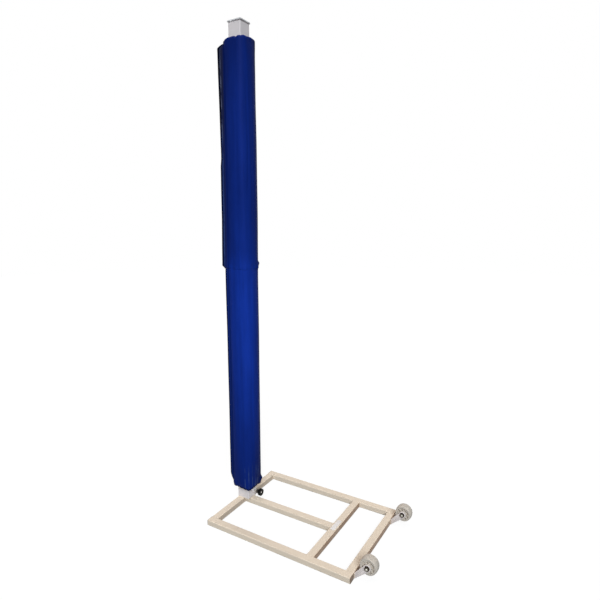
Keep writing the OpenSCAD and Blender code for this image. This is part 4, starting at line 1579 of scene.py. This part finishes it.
def wheel_moulding(settings, radius, width, bore):
    """A moulded wheel along +Z: crowned tread, hollow faces, hub and ribs."""
    piece = cylinder(radius, width, 96, -width / 2)
    edit(piece)
    for share in (-0.75, -0.5, -0.25, 0.0, 0.25, 0.5, 0.75):
        bpy.ops.mesh.select_all(action="SELECT")
        bpy.ops.mesh.bisect(plane_co=(0, 0, share * width / 2), plane_no=(0, 0, 1))
    for share in (0.25, 0.5, 0.75, 1.0):
        height = share * width / 2
        choose(piece, lambda v: abs(abs(v.co.z) - height) < 0.01 * MM, "VERT")
        narrow = 1 - settings.crown * share ** 2.4 / radius
        bpy.ops.transform.resize(value=(narrow, narrow, 1), center_override=(0, 0, 0))
    face = radius - settings.crown
    for sign in (-1, 1):
        choose(piece, lambda f: f.normal.z * sign > 0.99)
        for inset, depth in ((settings.rim, -settings.recess),
                             (face - settings.rim - settings.hub, settings.recess)):
            bpy.ops.mesh.inset(thickness=inset, depth=0.0)
            bpy.ops.mesh.extrude_region_move(
                TRANSFORM_OT_translate={"value": (0, 0, sign * depth)})
        bpy.ops.mesh.inset(thickness=settings.hub - bore, depth=0.0)
        bpy.ops.mesh.delete(type="ONLY_FACE")
    choose(piece, lambda e: e.is_boundary, "EDGE")
    bpy.ops.mesh.bridge_edge_loops()
    bpy.ops.mesh.select_all(action="SELECT")
    bpy.ops.mesh.normals_make_consistent(inside=False)
    leave_edit()
    round_edges(piece, 0.9 * MM, 2, 40.0)
    inner, outer = settings.hub - 0.6 * MM, face - settings.rim + 0.6 * MM
    floor, crest = width / 2 - settings.recess - 0.5 * MM, width / 2 - 1.2 * MM
    ribs = []
    for low, high in ((-crest, -floor), (floor, crest)):
        for k in range(settings.ribs):
            rib = box_piece((inner, -1.5 * MM, low), (outer, 1.5 * MM, high))
            round_edges(rib, 0.5 * MM)
            seat(rib, Matrix.Rotation(2 * math.pi * k / settings.ribs, 4, "Z"))
            ribs.append(rib)
    foot, ridge = radius - 0.4 * MM, radius + 0.12 * MM
    seam = turned([(foot, -0.35 * MM), (ridge, -0.15 * MM), (ridge, 0.15 * MM),
                   (foot, 0.35 * MM)], "parting_line", 96)
    return join([piece, seam, *ribs])


class VOLLEYBALL_POST_OT_wheels(bpy.types.Operator):
    """Models one wheel and copies it to the other side."""

    bl_idname = "volleyball_post.wheels"
    bl_label = "Wheels"

    def execute(self, context):
        settings = context.scene.post_wheels
        low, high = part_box("near_wheel")
        bush_low, bush_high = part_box("near_wheel_bush")
        model = wheel_moulding(settings, (high.z - low.z) / 2, high.y - low.y,
                               (bush_high.z - bush_low.z) / 2)
        nylon = wheel_finish(settings.wheel_colour)
        liner = moulded_finish("bush_plastic", (0.06, 0.06, 0.06), gloss=0.3, dust=0.1)
        for side in SIDES:
            low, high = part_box(f"{side}_wheel")
            body = f"{side}_wheel_body"
            twin = piece_of(model.data.copy(), f"{side}_wheel_moulding")
            seat(twin, Matrix.Translation((low + high) / 2) @ ALONG_Y)
            finished(twin, f"{side}_wheel_moulding", body, nylon,
                     [f"{side}_wheel"])
            softened(f"{side}_wheel_bush", 0.4 * MM, f"{side}_bush_liner", body,
                     liner)
        bpy.data.objects.remove(model)
        return {"FINISHED"}


class VOLLEYBALL_POST_OT_axles(bpy.types.Operator):
    """Models an axle bolt with its nut and washer, and copies them to the other side."""

    bl_idname = "volleyball_post.axles"
    bl_label = "Axles and brackets"

    def execute(self, context):
        settings, lock = context.scene.post_wheels, context.scene.post_lock
        zinc = metal_finish("zinc_plate", (0.44, 0.43, 0.38), (0.20, 0.17, 0.12), 0.55, 0.42)
        dark = metal_finish("nut_oxide", (0.05, 0.043, 0.036), (0.14, 0.09, 0.055), 0.4, 0.40)
        low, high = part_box("near_axle_bolt")
        nut_low, nut_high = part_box("near_axle_nut")
        washer_low, washer_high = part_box("near_axle_washer")
        radius = settings.bolt_width / 2
        head = 7 * MM
        shank = high.y - low.y - head
        thread_end = (nut_high.y - low.y) + 3 * MM
        profile = [(0, 0), (radius - 1.2 * MM, 0), (radius - 0.5 * MM, 0.7 * MM)]
        profile += thread_profile(radius, 0.8 * MM, thread_end, lock.thread_pitch)
        profile += [(radius, thread_end + 1 * MM), (radius, shank + 1 * MM), (0, shank + 1 * MM)]
        bolt = turned(profile, "axle_bolt_model", 40)
        top = hexagon(settings.nut_width, head, "bolt_head")
        round_edges(top, 0.3 * MM)
        seat(top, Matrix.Translation((0, 0, shank)) @ about("Z", 30))
        bolt = join([bolt, top])
        nut = nut_piece(settings.nut_width, nut_high.y - nut_low.y, radius + 0.05 * MM,
                        "axle_nut_model")
        reach = (washer_high.z - washer_low.z) / 2
        thick = washer_high.y - washer_low.y
        washer = turned(
            [(radius + 0.1 * MM, 0), (reach - 0.3 * MM, 0), (reach, 0.3 * MM),
             (reach, thick - 0.5 * MM), (reach - 0.5 * MM, thick), (radius + 0.3 * MM, thick)],
            "axle_washer_model", 64)
        for side, turn in zip(SIDES, (0, 17)):
            low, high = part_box(f"{side}_axle_bolt")
            axis = Matrix.Translation(((low.x + high.x) / 2, 0, (low.z + high.z) / 2))
            for model, kind, material, slot in (
                (bolt, "axle_bolt", zinc, "bright_steel"),
                (nut, "axle_nut", dark, "dark_steel"),
                (washer, "axle_washer", dark, "dark_steel"),
            ):
                node = f"{side}_{kind}"
                twin = piece_of(model.data.copy(), f"{node}_forged")
                start = Matrix.Translation((0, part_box(node)[0].y, 0))
                seat(twin, axis @ start @ ALONG_Y @ about("Z", turn))
                finished(twin, f"{node}_forged", "base", material, [node], 40)
        for model in (bolt, nut, washer):
            bpy.data.objects.remove(model)
        colour = context.scene.post_paint.bracket_colour
        grey = paint_finish("bracket_paint", colour, 0.3, gloss=0.40)
        for side in SIDES:
            for part in ("outer", "inner"):
                node = f"{side}_{part}_bracket"
                softened(node, 0.7 * MM, f"{node}_plate", "base", grey)
        return {"FINISHED"}


# ---------- stage ----------


def behind_the_scene(tree):
    """1 for what the camera, a gloss or a clear piece sees of the surroundings, else 0."""
    path = put(tree, "ShaderNodeLightPath").outputs
    seen = [Value(path[f"Is {kind} Ray"]) for kind in ("Camera", "Glossy", "Transmission")]
    return maths("MAXIMUM", maths("MAXIMUM", *seen[:2]), seen[2])


class VOLLEYBALL_POST_OT_stage(bpy.types.Operator):
    """Sets up the camera, the lights, the pale floor and the white surroundings."""

    bl_idname = "volleyball_post.stage"
    bl_label = "Stage"

    def execute(self, context):
        scene, stage = context.scene, context.scene.post_stage
        camera = bpy.data.objects.new("camera", bpy.data.cameras.new("camera"))
        scene.collection.objects.link(camera)
        camera.location = stage.camera_place
        camera.rotation_euler = stage.camera_turn
        camera.data.sensor_width = 36.0
        camera.data.lens = stage.lens
        camera.data.clip_end = 60.0
        scene.camera = camera
        scene.view_settings.view_transform = "Standard"
        for name, strength, angle, turn, colour in (
            ("key_light", stage.key, 24.0, (54, 0, 37), (0.86, 0.94, 1.0)),
            ("top_light", stage.top, 60.0, (14, 0, -20), (1.0, 0.86, 0.75)),
            ("rear_light", stage.rear, 50.0, (78, 0, 212), (1.0, 0.92, 0.86)),
        ):
            lamp = bpy.data.lights.new(name, "SUN")
            lamp.energy = strength
            lamp.angle = math.radians(angle)
            lamp.color = colour
            light = piece_of(lamp, name)
            light.rotation_euler = [math.radians(part) for part in turn]
            light.location = (0, -2, 3)
            light.visible_glossy = name != "rear_light"
        self.surroundings(stage)
        self.floor()
        return {"FINISHED"}

    def surroundings(self, stage):
        world = bpy.data.worlds.new("studio")
        bpy.context.scene.world = world
        tree = emptied_tree(world)
        values = {0: (1, 0.99, 0.98, 1), 1: stage.room}
        room = Value(put(tree, "ShaderNodeBackground", values).outputs[0])
        white = Value(put(tree, "ShaderNodeBackground", {0: (1, 1, 1, 1)}).outputs[0])
        both = feed("ShaderNodeMixShader", {0: behind_the_scene(tree), 1: room, 2: white})
        put(tree, "ShaderNodeOutputWorld", {0: both})

    def floor(self):
        clear_selection()
        bpy.ops.mesh.primitive_circle_add(vertices=96, radius=14.0, fill_type="NGON")
        piece = bpy.context.object
        piece.name = "floor"
        material = bpy.data.materials.new("pale_floor")
        tree = emptied_tree(material)
        matt = Value(put(tree, "ShaderNodeBsdfDiffuse", {0: (0.16, 0.16, 0.16, 1)}).outputs[0])
        glow = Value(put(tree, "ShaderNodeEmission", {0: (1, 1, 1, 1), 1: 0.88}).outputs[0])
        lit = feed("ShaderNodeAddShader", {0: matt, 1: glow})
        both = feed("ShaderNodeMixShader", {0: behind_the_scene(tree), 1: matt, 2: lit})
        put(tree, "ShaderNodeOutputMaterial", {0: both})
        piece.data.materials.append(material)


# ---------- panel, registration, run ----------

STEPS = (
    VOLLEYBALL_POST_OT_stage,
    VOLLEYBALL_POST_OT_painted_steel,
    VOLLEYBALL_POST_OT_welds,
    VOLLEYBALL_POST_OT_cap,
    VOLLEYBALL_POST_OT_label,
    VOLLEYBALL_POST_OT_lock,
    VOLLEYBALL_POST_OT_wheels,
    VOLLEYBALL_POST_OT_axles,
    VOLLEYBALL_POST_OT_lower_pad,
    VOLLEYBALL_POST_OT_upper_pad,
)

GROUPS = {
    "post_pads": PadSettings,
    "post_paint": PaintSettings,
    "post_wheels": WheelSettings,
    "post_lock": LockSettings,
    "post_stage": StageSettings,
}


class VOLLEYBALL_POST_PT_steps(bpy.types.Panel):
    """Lists the steps that build the post."""

    bl_idname = "VOLLEYBALL_POST_PT_steps"
    bl_label = "Volleyball post"
    bl_space_type = "VIEW_3D"
    bl_region_type = "UI"
    bl_category = "Post"

    def draw(self, context):
        for step in STEPS:
            self.layout.operator(step.bl_idname)
        for name in GROUPS:
            settings = getattr(context.scene, name)
            column = self.layout.column(align=True)
            for key in type(settings).__annotations__:
                column.prop(settings, key)


CLASSES = (*GROUPS.values(), *STEPS, VOLLEYBALL_POST_PT_steps)


def register():
    for cls in CLASSES:
        bpy.utils.register_class(cls)
    for name, cls in GROUPS.items():
        setattr(bpy.types.Scene, name, PointerProperty(type=cls))


def unregister():
    for name in GROUPS:
        delattr(bpy.types.Scene, name)
    for cls in reversed(CLASSES):
        bpy.utils.unregister_class(cls)


def main():
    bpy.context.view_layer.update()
    register()
    for step in STEPS:
        group, name = step.bl_idname.split(".")
        getattr(getattr(bpy.ops, group), name)()
    clear_selection()


if __name__ == "__main__":
    main()
